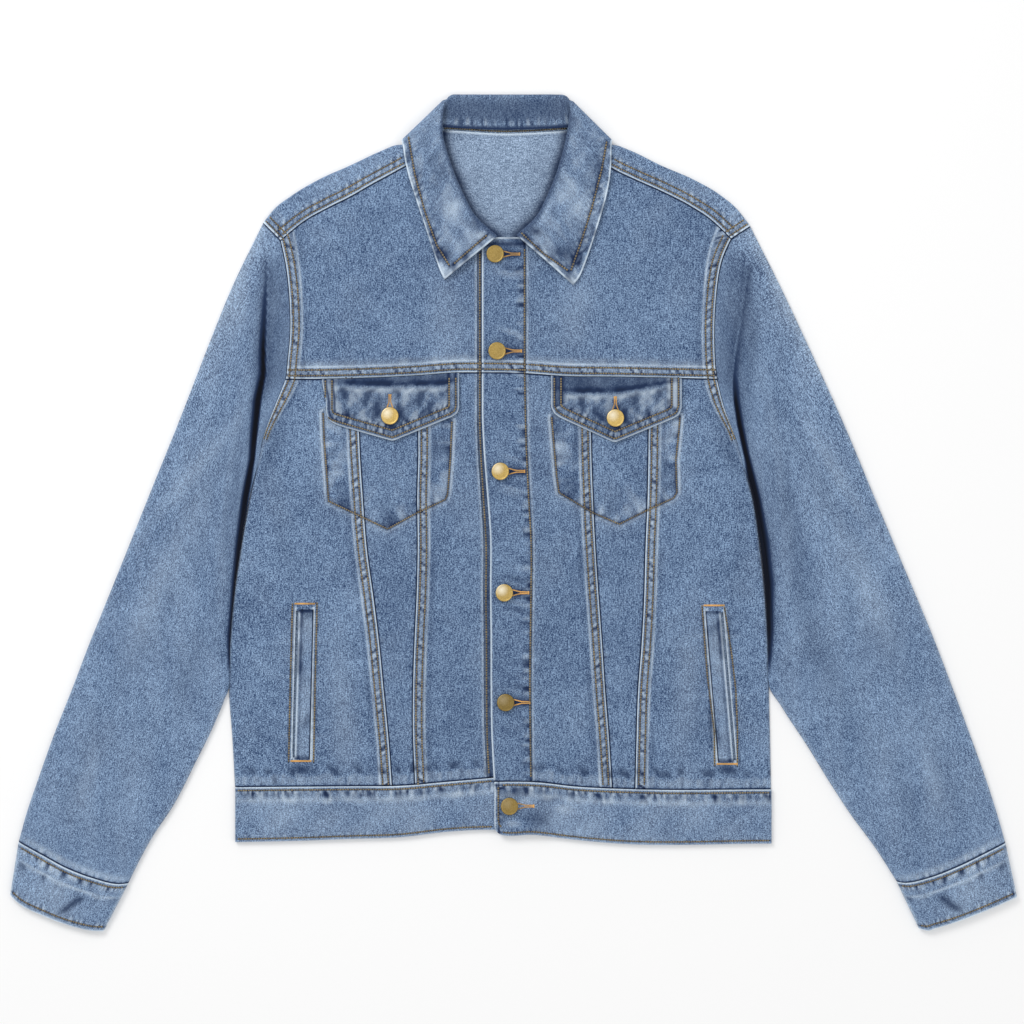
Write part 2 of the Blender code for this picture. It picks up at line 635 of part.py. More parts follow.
def make_back_yoke():
    """The back yoke, which runs over both shoulders to the front and ends at the neck between them."""
    fold_x = np.array(SHOULDER_COLUMNS_L + NECK_COLUMNS + SHOULDER_COLUMNS_R, float)
    count = len(fold_x)
    first_neck = len(SHOULDER_COLUMNS_L)
    last_neck = first_neck + len(NECK_COLUMNS) - 1
    ends = (FOLD_END["l"], FOLD_NECK["l"], FOLD_NECK["r"], FOLD_END["r"])
    seam_x = np.interp(fold_x, ends, (SEAM_END["l"], NECK_POINT["l"], NECK_POINT["r"], SEAM_END["r"]))
    base_x = np.interp(fold_x, (ends[0], ends[-1]), (BACK_CORNER["l"] + HALF, BACK_CORNER["r"] - HALF))
    fold = np.stack([fold_x, shoulder_fold(fold_x)], axis=-1)
    seam_l = through(SHOULDER_SEAM_L)
    seam_r = through(SHOULDER_SEAM_R)
    seam_y = np.where(seam_x < 0, seam_l(seam_x), seam_r(seam_x)) + GAP
    seam = np.stack([seam_x, seam_y], axis=-1)
    base = np.stack([base_x, np.full(count, BACK_YOKE_Y + HALF)], axis=-1)
    toward = seam - fold
    toward = toward / np.linalg.norm(toward, axis=-1, keepdims=True)
    start = fold + toward * YOKE_FOLD_RADIUS
    neck = (fold_x > FOLD_NECK["l"]) & (fold_x < FOLD_NECK["r"])
    start[neck, 1] = neck_seam(fold_x[neck])
    start[neck, 0] = fold_x[neck]
    outer = []
    inner = []
    for share in (0.0, 0.25, 0.5, 0.72, 0.82, 0.9, 0.96, 1.0):
        at = mix(base, start, share)
        lift = neck_lift(at[:, 0], at[:, 1])
        outer.append(np.column_stack([at, lift]))
        inner.append(np.column_stack([at, lift + CLOTH]))
    top = LIFT + CLOTH + FELL_RISE
    for turn in (30, 60, 90, 120, 150):
        angle = math.radians(turn)
        for grid, inset in ((outer, 0.0), (inner, CLOTH)):
            at = start - toward * (YOKE_FOLD_RADIUS - inset) * math.sin(angle)
            lift = neck_lift(start[:, 0], start[:, 1])
            height = 0.5 * top - (0.5 * top - inset) * math.cos(angle)
            grid.append(np.column_stack([at, lift + height]))
    for share in (0.0, 0.35, 1.0):
        at = mix(start, seam, share)
        rise = underside(at[:, 0], at[:, 1]) - LIFT
        outer.append(np.column_stack([at, rise + top]))
        inner.append(np.column_stack([at, rise + top - CLOTH - FELL_RISE * share]))
    rows = len(outer)
    cells = []
    for i in range(rows - 1):
        for j in range(count - 1):
            at_neck = first_neck - 1 <= j <= last_neck
            if i < 7 or not at_neck:
                cells.append((i, j))
    return wall("back_yoke", np.array(outer), np.array(inner), cells=cells)


# ---------------------------------------------------------------- sleeves

STATIONS = (0, 0.25, 0.6, 1, 1.5, 2, 2.6, 3.3, 4, 5, 5.6, 6.1, 6.6, 7.2, 8, 9, 10, 11, 12)
CAP_STATIONS = 4.0  # how many stations the cap's shape fades over
CUFF_STATIONS = 2.5  # how many stations the cuff seam's shape fades over
LEAST_ROOM = 0.5  # least space between a sleeve's two layers
TUBE_SHARES = (
    0, 0.004, 0.015, 0.04, 0.09, 0.17, 0.27, 0.38, 0.5, 0.62, 0.73, 0.83, 0.91, 0.96, 0.985, 0.996, 1,
)


def tube_section(shares_top, shares_bottom, height, thickness, width):
    """Shares and heights of a flattened tube: over the top, then back along the flat underside."""
    top = np.array(shares_top, float)
    bottom = np.array(shares_bottom, float)[::-1]
    crown = (1.0 - abs(2.0 * top - 1.0) ** ROUNDNESS) ** (1.0 / ROUNDNESS)
    margin = thickness / width
    outer_share = np.concatenate([top, bottom])
    inner_share = margin + (1.0 - 2.0 * margin) * outer_share
    outer_z = np.concatenate([height * crown, np.zeros(len(bottom))])
    inner_top = thickness + (height - 2.0 * thickness) * crown
    inner_z = np.concatenate([inner_top, np.full(len(bottom), thickness)])
    shape = np.concatenate([crown, np.zeros(len(bottom))])
    return outer_share, inner_share, outer_z, inner_z, shape


def make_sleeve(name, side):
    """A flattened tube from the armhole, whose line its cap follows, to the cuff's curved seam."""
    table = SLEEVE_L if side == "l" else SLEEVE_R
    cuff_top = CUFF_TOP_L if side == "l" else CUFF_TOP_R
    sign = 1.0 if side == "l" else -1.0
    read = {c: column(STATION_COLUMNS, table, c, None) for c in STATION_COLUMNS}
    last = float(len(table) - 1)

    def ends(s):
        head = np.array([float(read["outer_x"](s)), float(read["outer_y"](s))])
        foot = np.array([float(read["inner_x"](s)), float(read["inner_y"](s))])
        return head, foot

    cap = np.array(armhole_points(side))
    cap_share = (cap[0, 1] - cap[:, 1]) / (cap[0, 1] - cap[-1, 1])
    back_rows = np.array(BACK_ARMHOLE_ROWS + (ARMHOLE_TOP_Y,))
    back_x = back_edge(side, back_rows) - sign * GAP
    back_share = (cap[0, 1] - back_height(side, back_rows)) / (cap[0, 1] - cap[-1, 1])
    shares_bottom = bottom_shares(side, cap)
    shares_middle = spread(len(cap_share))
    on_top = np.arange(len(cap_share) + len(shares_bottom)) < len(cap_share)
    outer = []
    inner = []
    for s in STATIONS:
        head, foot = ends(s)
        height = float(read["height"](s))
        tops = mix(cap_share, shares_middle, ease(s / (ARMHOLE_REACH * last)))
        section = tube_section(tops, shares_bottom, height, CLOTH, np.linalg.norm(foot - head))
        at_cap = 1.0 - ease(s / CAP_STATIONS)
        at_cuff = ease((s - last + CUFF_STATIONS) / CUFF_STATIONS)
        for grid, share, z in ((outer, section[0], section[2]), (inner, section[1], section[3])):
            front_x = np.interp(share, cap_share, cap[:, 0])
            cap_x = np.where(on_top, front_x, np.interp(share, back_share[::-1], back_x[::-1]))
            cap_y = mix(cap[0, 1], cap[-1, 1], share)
            cap_line = np.stack([cap_x, cap_y], axis=-1)
            cuff_line = np.stack([through(cuff_top, 1)(share), through(cuff_top, 2)(share)], axis=-1)
            plan = mix(head, foot, share[:, None])
            plan = plan + at_cap * (cap_line - mix(*ends(0), share[:, None]))
            plan = plan + at_cuff * (cuff_line - mix(*ends(last), share[:, None]))
            fold = folds(plan[:, 0], plan[:, 1], SLEEVE_FOLDS) * section[4] ** 2
            room = height - 2.0 * CLOTH - LEAST_ROOM
            z = z + np.maximum(fold * (1.0 - 0.7 * at_cap), -room * section[4])
            grid.append(np.column_stack([plan, z]))
    return wall(name, np.array(outer), np.array(inner), ring=True)


def bottom_shares(side, cap):
    """Shares of the tube's underside: the back's own rows by the armhole, even beyond them."""
    heights = back_height(side, np.array(BACK_ARMHOLE_ROWS[1:]))
    return sorted([float((cap[0][1] - y) / (cap[0][1] - cap[-1][1])) for y in heights] + [0.14, 0.28, 0.42])


def spread(count):
    """Shares across the tube, close together where it turns at its edges."""
    even = np.linspace(0.0, 1.0, count)
    full = np.linspace(0.0, 1.0, len(TUBE_SHARES))
    return np.interp(even, full, TUBE_SHARES)


def make_cuff(name, side):
    """A band of double cloth round the sleeve's end."""
    top = CUFF_TOP_L if side == "l" else CUFF_TOP_R
    end = CUFF_END_L if side == "l" else CUFF_END_R
    shares = spread(len(armhole_points(side)))
    outer = []
    inner = []
    at_top = np.array([through(top, 1)(0.0), through(top, 2)(0.0)])
    at_end = np.array([through(end, 1)(0.0), through(end, 2)(0.0)])
    forward = (at_end - at_top) / np.linalg.norm(at_end - at_top)
    under = bottom_shares(side, armhole_points(side))
    for along, height in ((0.0, CUFF_HEIGHT), (0.5, CUFF_HEIGHT), (1.0, CUFF_HEIGHT - CUFF_TAPER)):
        section = tube_section(shares, under, height, DOUBLE, CUFF_WIDTH)
        for grid, share, z in ((outer, section[0], section[2]), (inner, section[1], section[3])):
            start = np.stack([through(top, 1)(share), through(top, 2)(share)], axis=-1) + forward * GAP
            finish = np.stack([through(end, 1)(share), through(end, 2)(share)], axis=-1)
            grid.append(np.column_stack([mix(start, finish, along), z]))
    return wall(name, np.array(outer), np.array(inner), ring=True)


# ---------------------------------------------------------------- waistband

BAND_HEIGHT = LIFT + DOUBLE
BAND_TURNS = (-90, -50, 0, 50, 90)


def make_waistband():
    """One strip: from its under end along the left front, round the back, and along the right front."""
    left_x = -260.4
    right_x = 244.2
    radius = 0.5 * BAND_HEIGHT
    stations = []
    for x in (14, -4, -22, -42, -66, -105, -150, -200, -245):
        stations.append((x, LIFT, 90, "left"))
    for turn in reversed(BAND_TURNS):
        stations.append((left_x, None, turn, "left"))
    for x in BAND_BACK_X:
        stations.append((x, 0.0, -90, "back"))
    for turn in BAND_TURNS:
        stations.append((right_x, None, turn, "right"))
    for x in (225, 180, 135, 92, 62, 44, 30, 18, 4, -8, -16.5):
        stations.append((x, LIFT + PLACKET_STEP * float(ease((44.0 - x) / 24.0)), 90, "right"))
    outer = []
    inner = []
    for x, low, turn, layer in stations:
        for grid, inset in ((outer, 0.0), (inner, DOUBLE)):
            rows = []
            for share in (0.0, 0.08, 0.5, 0.92, 1.0):
                if low is None:
                    angle = math.radians(turn)
                    sign = -1.0 if layer == "left" else 1.0
                    centre = x - sign * radius
                    at = centre + sign * (radius - inset) * math.cos(angle)
                    z = radius + (radius - inset) * math.sin(angle)
                elif layer == "back":
                    at = x
                    z = inset
                else:
                    at = x
                    z = low + DOUBLE - inset
                bottom, top = band_edges(x, layer)
                rows.append((at, mix(bottom, top - GAP / 2, share), z))
            grid.append(rows)
    return wall("waistband", np.array(outer), np.array(inner))


def band_edges(x, layer):
    """The waistband's lower and upper edge at a place."""
    if layer == "back":
        return float(waist_back(x)), float(waist_back(x)) + BACK_BAND_WIDTH
    if layer == "left":
        return float(waist_left(x)), float(hem_left(x))
    return float(waist_right(x)), float(hem_right(x))


# ---------------------------------------------------------------- collar

COLLAR_STATIONS = (0, 1, 2, 2.6, 3, 3.4, 3.7, 3.85, 4, 4.15, 4.3, 4.6, 5, 5.5, 6, 7, 8, 9, 10, 10.6, 11)
LEAF_SHARES = (0.0, 0.08, 0.3, 0.55, 0.8)
ROLL_TURNS = (90, 40, 0, -40, -90)
STAND_SHARES = (0.4, 1.0)


def collar_base(x, y):
    """Height that the collar's front rests on: the fronts, and the plackets where they overlap."""
    fronts = LIFT + CLOTH + ON_FRONTS + neck_lift(x, y)
    to_placket = ease((72.0 - abs(x + 6.0)) / 34.0) * ease((300.0 - y) / 30.0)
    return fronts + ON_PLACKETS * to_placket


def make_collar():
    """Stand and folded leaf in one double strip, from the left front end round the neck to the right."""
    outer = []
    inner = []
    for side in ("l", "r"):
        table = COLLAR_L if side == "l" else COLLAR_R
        numbers = COLLAR_STATIONS[::-1] if side == "l" else COLLAR_STATIONS[1:]
        for s in numbers:
            points = collar_section(table, s, side)
            outer.append([p[0] for p in points])
            inner.append([p[1] for p in points])
    return wall("collar", np.array(outer), np.array(inner))


def collar_section(table, s, side):
    """Pairs of outer and inner points from the leaf's edge over the roll to the neck seam."""
    read = {c: float(column(COLLAR_COLUMNS, table, c, None)(s)) for c in COLLAR_COLUMNS}
    front = float(ease((s - 3.62) / 0.8))
    leaf = np.array([read["leaf_x"], read["leaf_y"], 0.0])
    roll = np.array([read["roll_x"], read["roll_y"], 0.0])
    seam = np.array([read["seam_x"], read["seam_y"], 0.0])
    along_leaf = (roll - leaf) / np.linalg.norm(roll - leaf)
    along_stand = (roll - seam) / np.linalg.norm(roll - seam)
    outward = np.array([-along_leaf[1], along_leaf[0], 0.0]) * (1.0 if side == "l" else -1.0)
    normal = outward * math.sin(math.pi * front) - np.array([0, 0, math.cos(math.pi * front)])
    apart = mix(ROLL_DEPTH, FLAT_DEPTH, front)
    half = 0.5 * DOUBLE
    base = float(collar_base(roll[0], roll[1]))
    centre_z = mix(0.5 * apart + half, base + half + 0.5 * apart, front)
    flat_out = 0.5 * apart + half
    points = []
    for share in LEAF_SHARES:
        at = leaf + (roll - leaf - along_leaf * flat_out) * share
        local = float(collar_base(at[0], at[1])) - base
        droop = front * ((DOUBLE + 0.2) * (1.0 - float(ease((share - 0.05) / 0.4))) - local)
        at = at + np.array([0, 0, centre_z - droop]) + normal * 0.5 * apart
        points.append((at + normal * half, at - normal * half))
    for turn in ROLL_TURNS:
        angle = math.radians(turn)
        along = mix(along_stand, along_leaf, 0.5 + 0.5 * math.sin(angle))
        arm = normal * math.sin(angle) + along * math.cos(angle)
        at = roll - along * flat_out + np.array([0, 0, centre_z])
        points.append((at + arm * (0.5 * apart + half), at + arm * (0.5 * apart - half)))
    for share in STAND_SHARES:
        at = mix(roll - along_stand * flat_out, seam, share)
        local = float(collar_base(at[0], at[1])) - base
        at = at + np.array([0, 0, centre_z + front * local]) - normal * 0.5 * apart
        points.append((at - normal * half, at + normal * half))
    return points


# ---------------------------------------------------------------- pockets and buttons

FLAP_BELOW_SEAM = 0.4  # distance from the yoke's seam to the flap
FLAP_BASE = LIFT + FULLNESS + CLOTH + FELL_RISE + GAP  # the flap lies level on the felled seams
WELT_LIFT = 0.2  # the welt stands this much above the front layer's underside
BUTTON_PARTS = 16


def make_flap(name, rows):
    """A chest flap: double cloth that lies on the panels and their felled seams."""
    left = rows[0][0]
    right = rows[-1][0]
    corners = [row[0] for row in rows]
    tip = corners[3]
    xs = [left + GAP, *corners[1:3], mix(corners[2], tip, 0.5), tip, mix(tip, corners[4], 0.5)]
    xs = np.array(xs + [*corners[4:6], right - GAP])
    edge_y = np.interp(xs, corners, [row[1] for row in rows])
    top_y = yoke_seam(xs) - HALF - FLAP_BELOW_SEAM
    shares = np.array((0.0, 0.25, 0.5, 0.75, 1.0))[:, None]
    x = np.broadcast_to(xs[None, :], (len(shares), len(xs)))
    y = mix(edge_y[None, :], top_y[None, :], shares)
    low = np.full_like(x, FLAP_BASE)
    outer = np.stack([x, y, low + DOUBLE], axis=-1)
    inner = np.stack([x, y, low], axis=-1)
    return wall(name, outer, inner)


def make_welt(name, slit, mouth):
    """A folded strip that stands in the slit; its mouth is the gap along one long side."""
    nominal = np.array((SLIT_BOTTOM_Y + 0.4, -180.0, -130.0, SLIT_TOP_Y - 0.4))[:, None]
    left = through(slit, 1)(nominal) + (POCKET_MOUTH if mouth == "l" else GAP)
    right = through(slit, 2)(nominal) - (POCKET_MOUTH if mouth == "r" else GAP)
    x = mix(left, right, np.array((0.0, 0.5, 1.0))[None, :])
    hem = hem_left if x.mean() < 0 else hem_right
    y = front_height(nominal, x, hem)
    low = underside(x, y) + WELT_LIFT
    outer = np.stack([x, y, low + DOUBLE], axis=-1)
    inner = np.stack([x, y, low], axis=-1)
    return wall(name, outer, inner)


def make_button(name, x, y, low):
    """A shank button: a short neck, a rolled rim and a domed face, turned round its own axis."""
    profile = (
        (0.0, 0.0), (BUTTON_NECK_RADIUS, 0.0), (BUTTON_NECK_RADIUS, 0.9), (BUTTON_RADIUS - 0.5, 0.9),
        (BUTTON_RADIUS, 1.4), (BUTTON_RADIUS - 0.2, 2.1), (BUTTON_RADIUS - 1.4, 2.5),
        (0.0, BUTTON_RISE - 0.4),
    )
    shape = bmesh.new()
    points = [shape.verts.new((r * MM, 0.0, z * MM)) for r, z in profile]
    edges = [shape.edges.new((a, b)) for a, b in zip(points, points[1:])]
    bmesh.ops.spin(
        shape, geom=points + edges, cent=(0, 0, 0), axis=(0, 0, 1), angle=2 * math.pi, steps=BUTTON_PARTS,
        use_merge=True,
    )
    bmesh.ops.remove_doubles(shape, verts=shape.verts, dist=0.00001)
    bmesh.ops.recalc_face_normals(shape, faces=shape.faces)
    mesh = bpy.data.meshes.new(name)
    shape.to_mesh(mesh)
    shape.free()
    button = place(name, mesh, BRASS, metallic=1.0, roughness=0.45)
    button.location = ((x - CENTRE[0]) * MM, (y - CENTRE[1]) * MM, low * MM)
    return button


def make_buttons():
    for number, (x, y) in enumerate(FRONT_BUTTONS, start=1):
        low = float(underside(x, y) + placket_lift(x, y)) + DOUBLE + GAP
        if y < HEM_Y:
            low = BAND_HEIGHT + PLACKET_STEP + GAP
        make_button(f"button_{number}", x, y, low + 0.1)
    for side, (x, y) in zip("lr", FLAP_BUTTONS):
        low = FLAP_BASE + DOUBLE + GAP
        make_button(f"flap_button_{side}", x, y, low)


def main():
    for old in list(bpy.data.objects):
        bpy.data.objects.remove(old)
    make_back_body()
    make_back_yoke()
    make_lower_fronts()
    front_yoke("front_yoke_l", "l")
    front_yoke("front_yoke_r", "r")
    make_plackets()
    make_waistband()
    for side in ("l", "r"):
        make_sleeve("sleeve_" + side, side)
        make_cuff("cuff_" + side, side)
    make_collar()
    make_flap("flap_l", FLAP_L)
    make_flap("flap_r", FLAP_R)
    make_welt("welt_l", SLIT_L, "l")
    make_welt("welt_r", SLIT_R, "r")
    make_buttons()


main()
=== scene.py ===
"""A washed denim jacket, buttoned and laid flat on its back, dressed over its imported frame."""

import math

import bmesh
import bpy
import numpy as np
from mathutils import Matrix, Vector
from mathutils.bvhtree import BVHTree


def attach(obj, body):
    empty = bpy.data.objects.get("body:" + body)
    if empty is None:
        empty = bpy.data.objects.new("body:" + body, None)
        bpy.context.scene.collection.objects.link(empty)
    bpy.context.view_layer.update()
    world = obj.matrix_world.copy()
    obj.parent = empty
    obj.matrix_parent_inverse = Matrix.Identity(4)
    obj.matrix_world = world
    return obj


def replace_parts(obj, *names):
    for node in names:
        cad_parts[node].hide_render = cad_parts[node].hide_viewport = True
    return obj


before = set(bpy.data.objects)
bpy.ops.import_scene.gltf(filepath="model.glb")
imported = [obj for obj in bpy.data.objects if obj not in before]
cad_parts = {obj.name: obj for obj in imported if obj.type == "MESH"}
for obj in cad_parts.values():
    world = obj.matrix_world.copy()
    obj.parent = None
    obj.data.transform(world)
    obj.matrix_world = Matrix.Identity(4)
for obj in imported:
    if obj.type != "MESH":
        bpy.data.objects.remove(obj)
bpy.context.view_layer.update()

bl_info = {
    "name": "Denim Jacket",
    "version": (1, 0, 0),
    "blender": (4, 5, 0),
    "location": "View3D > Sidebar > Jacket",
    "description": "Builds a washed denim jacket laid flat: cloth, sewing, buttons and stage",
    "category": "Add Mesh",
}

# Tables and sizes are in millimetres, in the axes in which the jacket was cut out.
# "l" is the half at negative x and "r" the half at positive x.
MM = 0.001
CENTRE = (1.5, 2.26)  # middle of the outline
SIDES = ("l", "r")
SIGN = {"l": 1, "r": -1}  # the way from a half's outer edge to the middle
CLOTH = 1.2
DOUBLE = 2.0
GAP = 0.3  # between pieces at a seam
HALF = GAP / 2
FULLNESS = 1.1
FELL_RISE = 1.0
LIFT = 2.3  # the fronts' underside over the surface
HEM_Y = -256.0
YOKE_Y = 134.0
YOKE_TOP = 260.0
UNDERARM_Y = 57.0
BACK_YOKE_Y = 152.0
ARMHOLE_TOP_Y = 275.0
ARM_BAND_END = 70.0  # where the armhole's felled band dies out above the underarm
BACK_INSET = CLOTH + GAP + 0.8
YOKE_FOLD_RADIUS = 2.25
SIDE_ROLL = 5.0
PLACKET_STEP = DOUBLE + GAP
PLACKET_PEEP = 6.0  # how far the under placket shows beside the over edge
PLACKET_TOP = 261.0
PLACKET_LENGTH_Y = 252.0  # the same on the rows' own scale
EDGE_LEANS = 1.9  # how far the soft over edge leans out above the middle
COLLAR_LIFT = 2.3
ROLL_DEPTH = 3.8
FLAT_DEPTH = DOUBLE + GAP + 0.2
ON_FRONTS = 1.6
ON_PLACKETS = 2.6
CUFF_HEIGHT = 6.8
CUFF_WIDTH = 108.0
CUFF_DEPTH = 48.0
CUFF_TAPER = 0.6
STATION_LENGTH = 52.0  # of a sleeve, between two rows of its table
SLEEVE_CLOSER = 1.5  # how far the soft sleeve bulges towards the body beyond the solid
ROUNDNESS = 7.0
FLAP_BASE = LIFT + FULLNESS + CLOTH + FELL_RISE + GAP
FLAP_BELOW_SEAM = 0.4
FLAP_SLANT = 3.6  # how far the left flap's outer corner is pulled in
SLIT_TOP_Y = -86.0
SLIT_BOTTOM_Y = -230.0
POCKET_MOUTH = 2.6  # how far a hand pocket's mouth stands open
WELT_LIFT = 0.2
BAND_HEIGHT = LIFT + DOUBLE
BAND_DEPTH = 49.5
BACK_BAND_WIDTH = 51.4
BAND_END_X = -16.5  # front end of the waistband's over end
BAND_CORNER = 7.0
# Stitch rows, from the edge of their piece
ROWS_APART = (2.9, 8.3)  # the two of a felled seam
BOUND_ROW = 3.8
BAND_ROWS = (3.0, 2.9)
FLAP_ROWS = (3.2, 9.5)
FINE = 2.2  # spacing of the cloth's points away from seams
HIDDEN_STEP = 3  # the hidden face keeps every third line of points
# Distances of the cloth's points from an edge, by the edge's kind; where none is named, the last one holds
FELLED_ZONE = (0, 0.4, 0.9, 1.4, 1.9, 2.5, 3.4, 4.6, 5.8, 7, 7.9, 8.4, 8.9, 9.5, 10.1, 10.8, 11.6, 12.8, 14.5)
BOUND_ZONE = (0, 0.35, 0.8, 1.3, 1.9, 2.6, 3.3, 3.8, 4.4, 5.2, 6.2, 7.2, 8.2, 9.4)
ROLL_ZONE = (0, 0.2, 0.45, 0.8, 1.2, 1.7, 2.3, 3, 3.8, 4.4, 5, 6, 7, 7.9, 8.4, 8.9, 9.6, 10.4, 11.4, 13)
UNDER_ZONE = (0, 0.4, 0.9, 1.5, 2.3, 3.4, 4.8, 6.4)
ZONES = {"felled": FELLED_ZONE, "bound": BOUND_ZONE, "side": ROLL_ZONE}
# Shares across a flattened tube, close together where it turns
TUBE_SHARES = (
    0, 0.004, 0.015, 0.04, 0.09, 0.17, 0.27, 0.38, 0.5, 0.62, 0.73, 0.83, 0.91, 0.96, 0.985, 0.996, 1,
)

# Upright seams of the lower fronts: a row for each height, the x of each seam
SEAM_COLUMNS = ("y", "side_l", "out_l", "in_l", "edge", "placket", "in_r", "out_r", "side_r")
SEAM_ROWS = (
    (134, -212.5, -148, -87, -26.5, 13, 70.5, 131, 192.5),
    (108, -223, -146, -87.5, -26.5, 13.5, 72, 129.5, 199),
    (84, -232, -144, -88, -26.5, 14, 74, 128.5, 208),
    (58, -238.5, -142.8, -88, -25.6, 14.8, 74.6, 128.2, 216.5),
    (20, -247, -140.3, -89, -23.4, 16.6, 76, 127.4, 227),
    (-30, -255.8, -136.4, -88.6, -20.6, 19.2, 78.4, 125.4, 234.2),
    (-75, -262, -130.4, -89.6, -20.8, 19, 81.4, 124.2, 238.6),
    (-119, -265.8, -125, -91.6, -20.3, 18.4, 84.6, 121.8, 241.2),
    (-165, -266.6, -120.6, -93, -20.2, 18, 87.6, 118.4, 242.2),
    (-210, -263.5, -116.2, -93, -19.6, 18.4, 91.2, 117, 243.2),
    (-256, -261, -113, -91, -17.2, 19, 94, 116, 244),
)
# Armhole of the yokes on the jacket's two halves: x at each height
ARMHOLE = {
    "l": (
        (84, -232), (108, -223), (134, -212.5), (150, -210.8), (174, -208.4), (202, -209), (232, -212.2),
        (260, -217.5),
    ),
    "r": ((84, 208), (108, 199), (134, 192.5), (162, 190.2), (196, 191.2), (230, 196.2), (260, 206)),
}
# Hand pockets' slits: a height, then the x of both long sides
SLIT = {
    "l": ((-230, -207, -190), (-86, -203.2, -186.4)),
    "r": ((-230, 193.6, 211), (-86, 181.4, 198.6)),
}
# Cross seams: the y at each x
YOKE_SEAM = (
    (-214, 128), (-180, 128), (-138, 129), (-93, 131), (-49, 134), (-27, 134), (17, 133), (50, 130.6),
    (95, 130), (193, 128),
)
HEM = {
    "l": ((-262, -256), (-149, -255), (-105, -254.6), (-62, -251), (-17, -247)),
    "r": ((-20, -250.6), (21, -251), (56, -255), (120, -258), (246, -258)),
}
SHOULDER_SEAM = {
    "l": (
        (-218, 258), (-196, 276), (-174, 288.5), (-152, 299.5), (-132, 311), (-102, 327), (-84, 336.5),
        (-72, 343),
    ),
    "r": (
        (62, 343), (81, 333.5), (93, 326.5), (115, 316), (144, 303), (168, 290.5), (187, 278), (206, 260),
    ),
}
NECKLINE = {
    "l": ((-72, 343), (-67, 326), (-58, 303), (-48, 284), (-38, 269), (-31, 262)),
    "r": ((12, 262), (26, 270), (38, 285), (48, 305), (57, 326), (62, 343)),
}
SHOULDER_FOLD = (
    (-234, 275), (-225, 286.5), (-208, 300), (-183, 315), (-152, 329), (-122, 343), (-110, 347.6),
    (-102, 348.2), (-94, 349), (-86, 350), (77, 350), (85, 349), (92, 348.2), (99, 347.4), (110, 343.5),
    (140, 329), (172, 315), (196, 301), (212, 287.5), (224, 272),
)
NECK_SEAM = (
    (-86, 350), (-65, 361), (-50, 360.9), (-36, 360), (-22, 359.1), (-7, 358.6), (10, 358.9), (26, 359.7),
    (40, 360.5), (52, 360.8), (77, 350),
)
# The waistband's lower edge on each front, and on the back just above theirs
WAIST_BOTTOM = {
    "l": (
        (-260, -307.6), (-203, -306.4), (-149, -304.5), (-105, -303), (-62, -298), (-21, -296), (20, -299),
    ),
    "r": ((-20, -297), (-12, -300), (21, -300.5), (48, -304), (92, -308.4), (244, -309)),
    "back": (
        (-260, -306.6), (-203, -305.2), (-149, -303.2), (-105, -301.4), (-62, -296.6), (-21, -294.8),
        (0, -295.4), (21, -298.6), (48, -302.4), (92, -307), (244, -308),
    ),
}
# Where a shoulder seam meets the neckline, and its outer end; the shoulder fold's two ends; the corner of
# the back's armhole at the back yoke's seam
NECK_POINT = {"l": -72, "r": 62}
SEAM_END = {"l": -217.5, "r": 206}
FOLD_END = {"l": -234, "r": 224}
FOLD_NECK = {"l": -86, "r": 77}
BACK_CORNER = {"l": -211, "r": 192}
# Sleeves: a row for each station from the armhole to the cuff
STATION_COLUMNS = ("outer_x", "outer_y", "inner_x", "inner_y", "height")
SLEEVE = {
    "l": (
        (-234.5, 275, -238.9, 56.4, 3.6),
        (-263, 216, -244.9, 35, 4.6),
        (-286.8, 157, -250.2, 10, 5.4),
        (-313, 89, -257.2, -32, 5.7),
        (-340, 22, -263.2, -75, 5.7),
        (-364, -38, -266.9, -119, 5.7),
        (-385, -90, -267.9, -162, 5.7),
        (-398, -122, -280, -196, 5.7),
        (-414, -164, -299, -235, 5.7),
        (-431, -207, -318, -272, 5.6),
        (-446, -249, -338, -302, 5.6),
        (-456.5, -280, -351, -325, 5.6),
        (-464, -307, -361, -345, 5.4),
    ),
    "r": (
        (225, 272, 217.2, 56.4, 3.6),
        (252.8, 216, 224.6, 35, 4.6),
        (279.2, 159, 229.8, 10, 5.4),
        (310.8, 89, 235.6, -32, 5.7),
        (338.8, 22, 239.8, -75, 5.7),
        (364, -38, 242.4, -119, 5.7),
        (386, -90, 243.4, -160, 5.7),
        (399, -122, 256, -184, 5.7),
        (415, -164, 279, -219, 5.7),
        (431, -207, 298, -250, 5.6),
        (446, -249, 319, -282, 5.6),
        (456, -280, 342, -313, 5.6),
        (464, -308, 362, -344, 5.4),
    ),
}
# Cuffs: a share of the width, then x and y of the edge by the sleeve and of the free edge
CUFF_TOP = {
    "l": (
        (0, -464, -307), (0.2, -442, -319), (0.42, -419, -331.5), (0.66, -394, -341), (0.9, -370, -346.6),
        (1, -361, -346),
    ),
    "r": (
        (0, 464, -308), (0.2, 443, -318.6), (0.4, 423, -328.5), (0.7, 391, -341), (0.92, 369, -345.4),
        (1, 362, -344.5),
    ),
}
CUFF_END = {
    "l": (
        (0, -472, -357), (0.1, -464, -364.6), (0.35, -440.6, -376.4), (0.6, -418.6, -384.8),
        (0.88, -394, -390.6), (1, -384, -391),
    ),
    "r": (
        (0, 475, -359), (0.2, 454.4, -368), (0.5, 422.6, -380.6), (0.8, 397, -388.6), (0.93, 390, -390.4),
        (1, 383, -389),
    ),
}
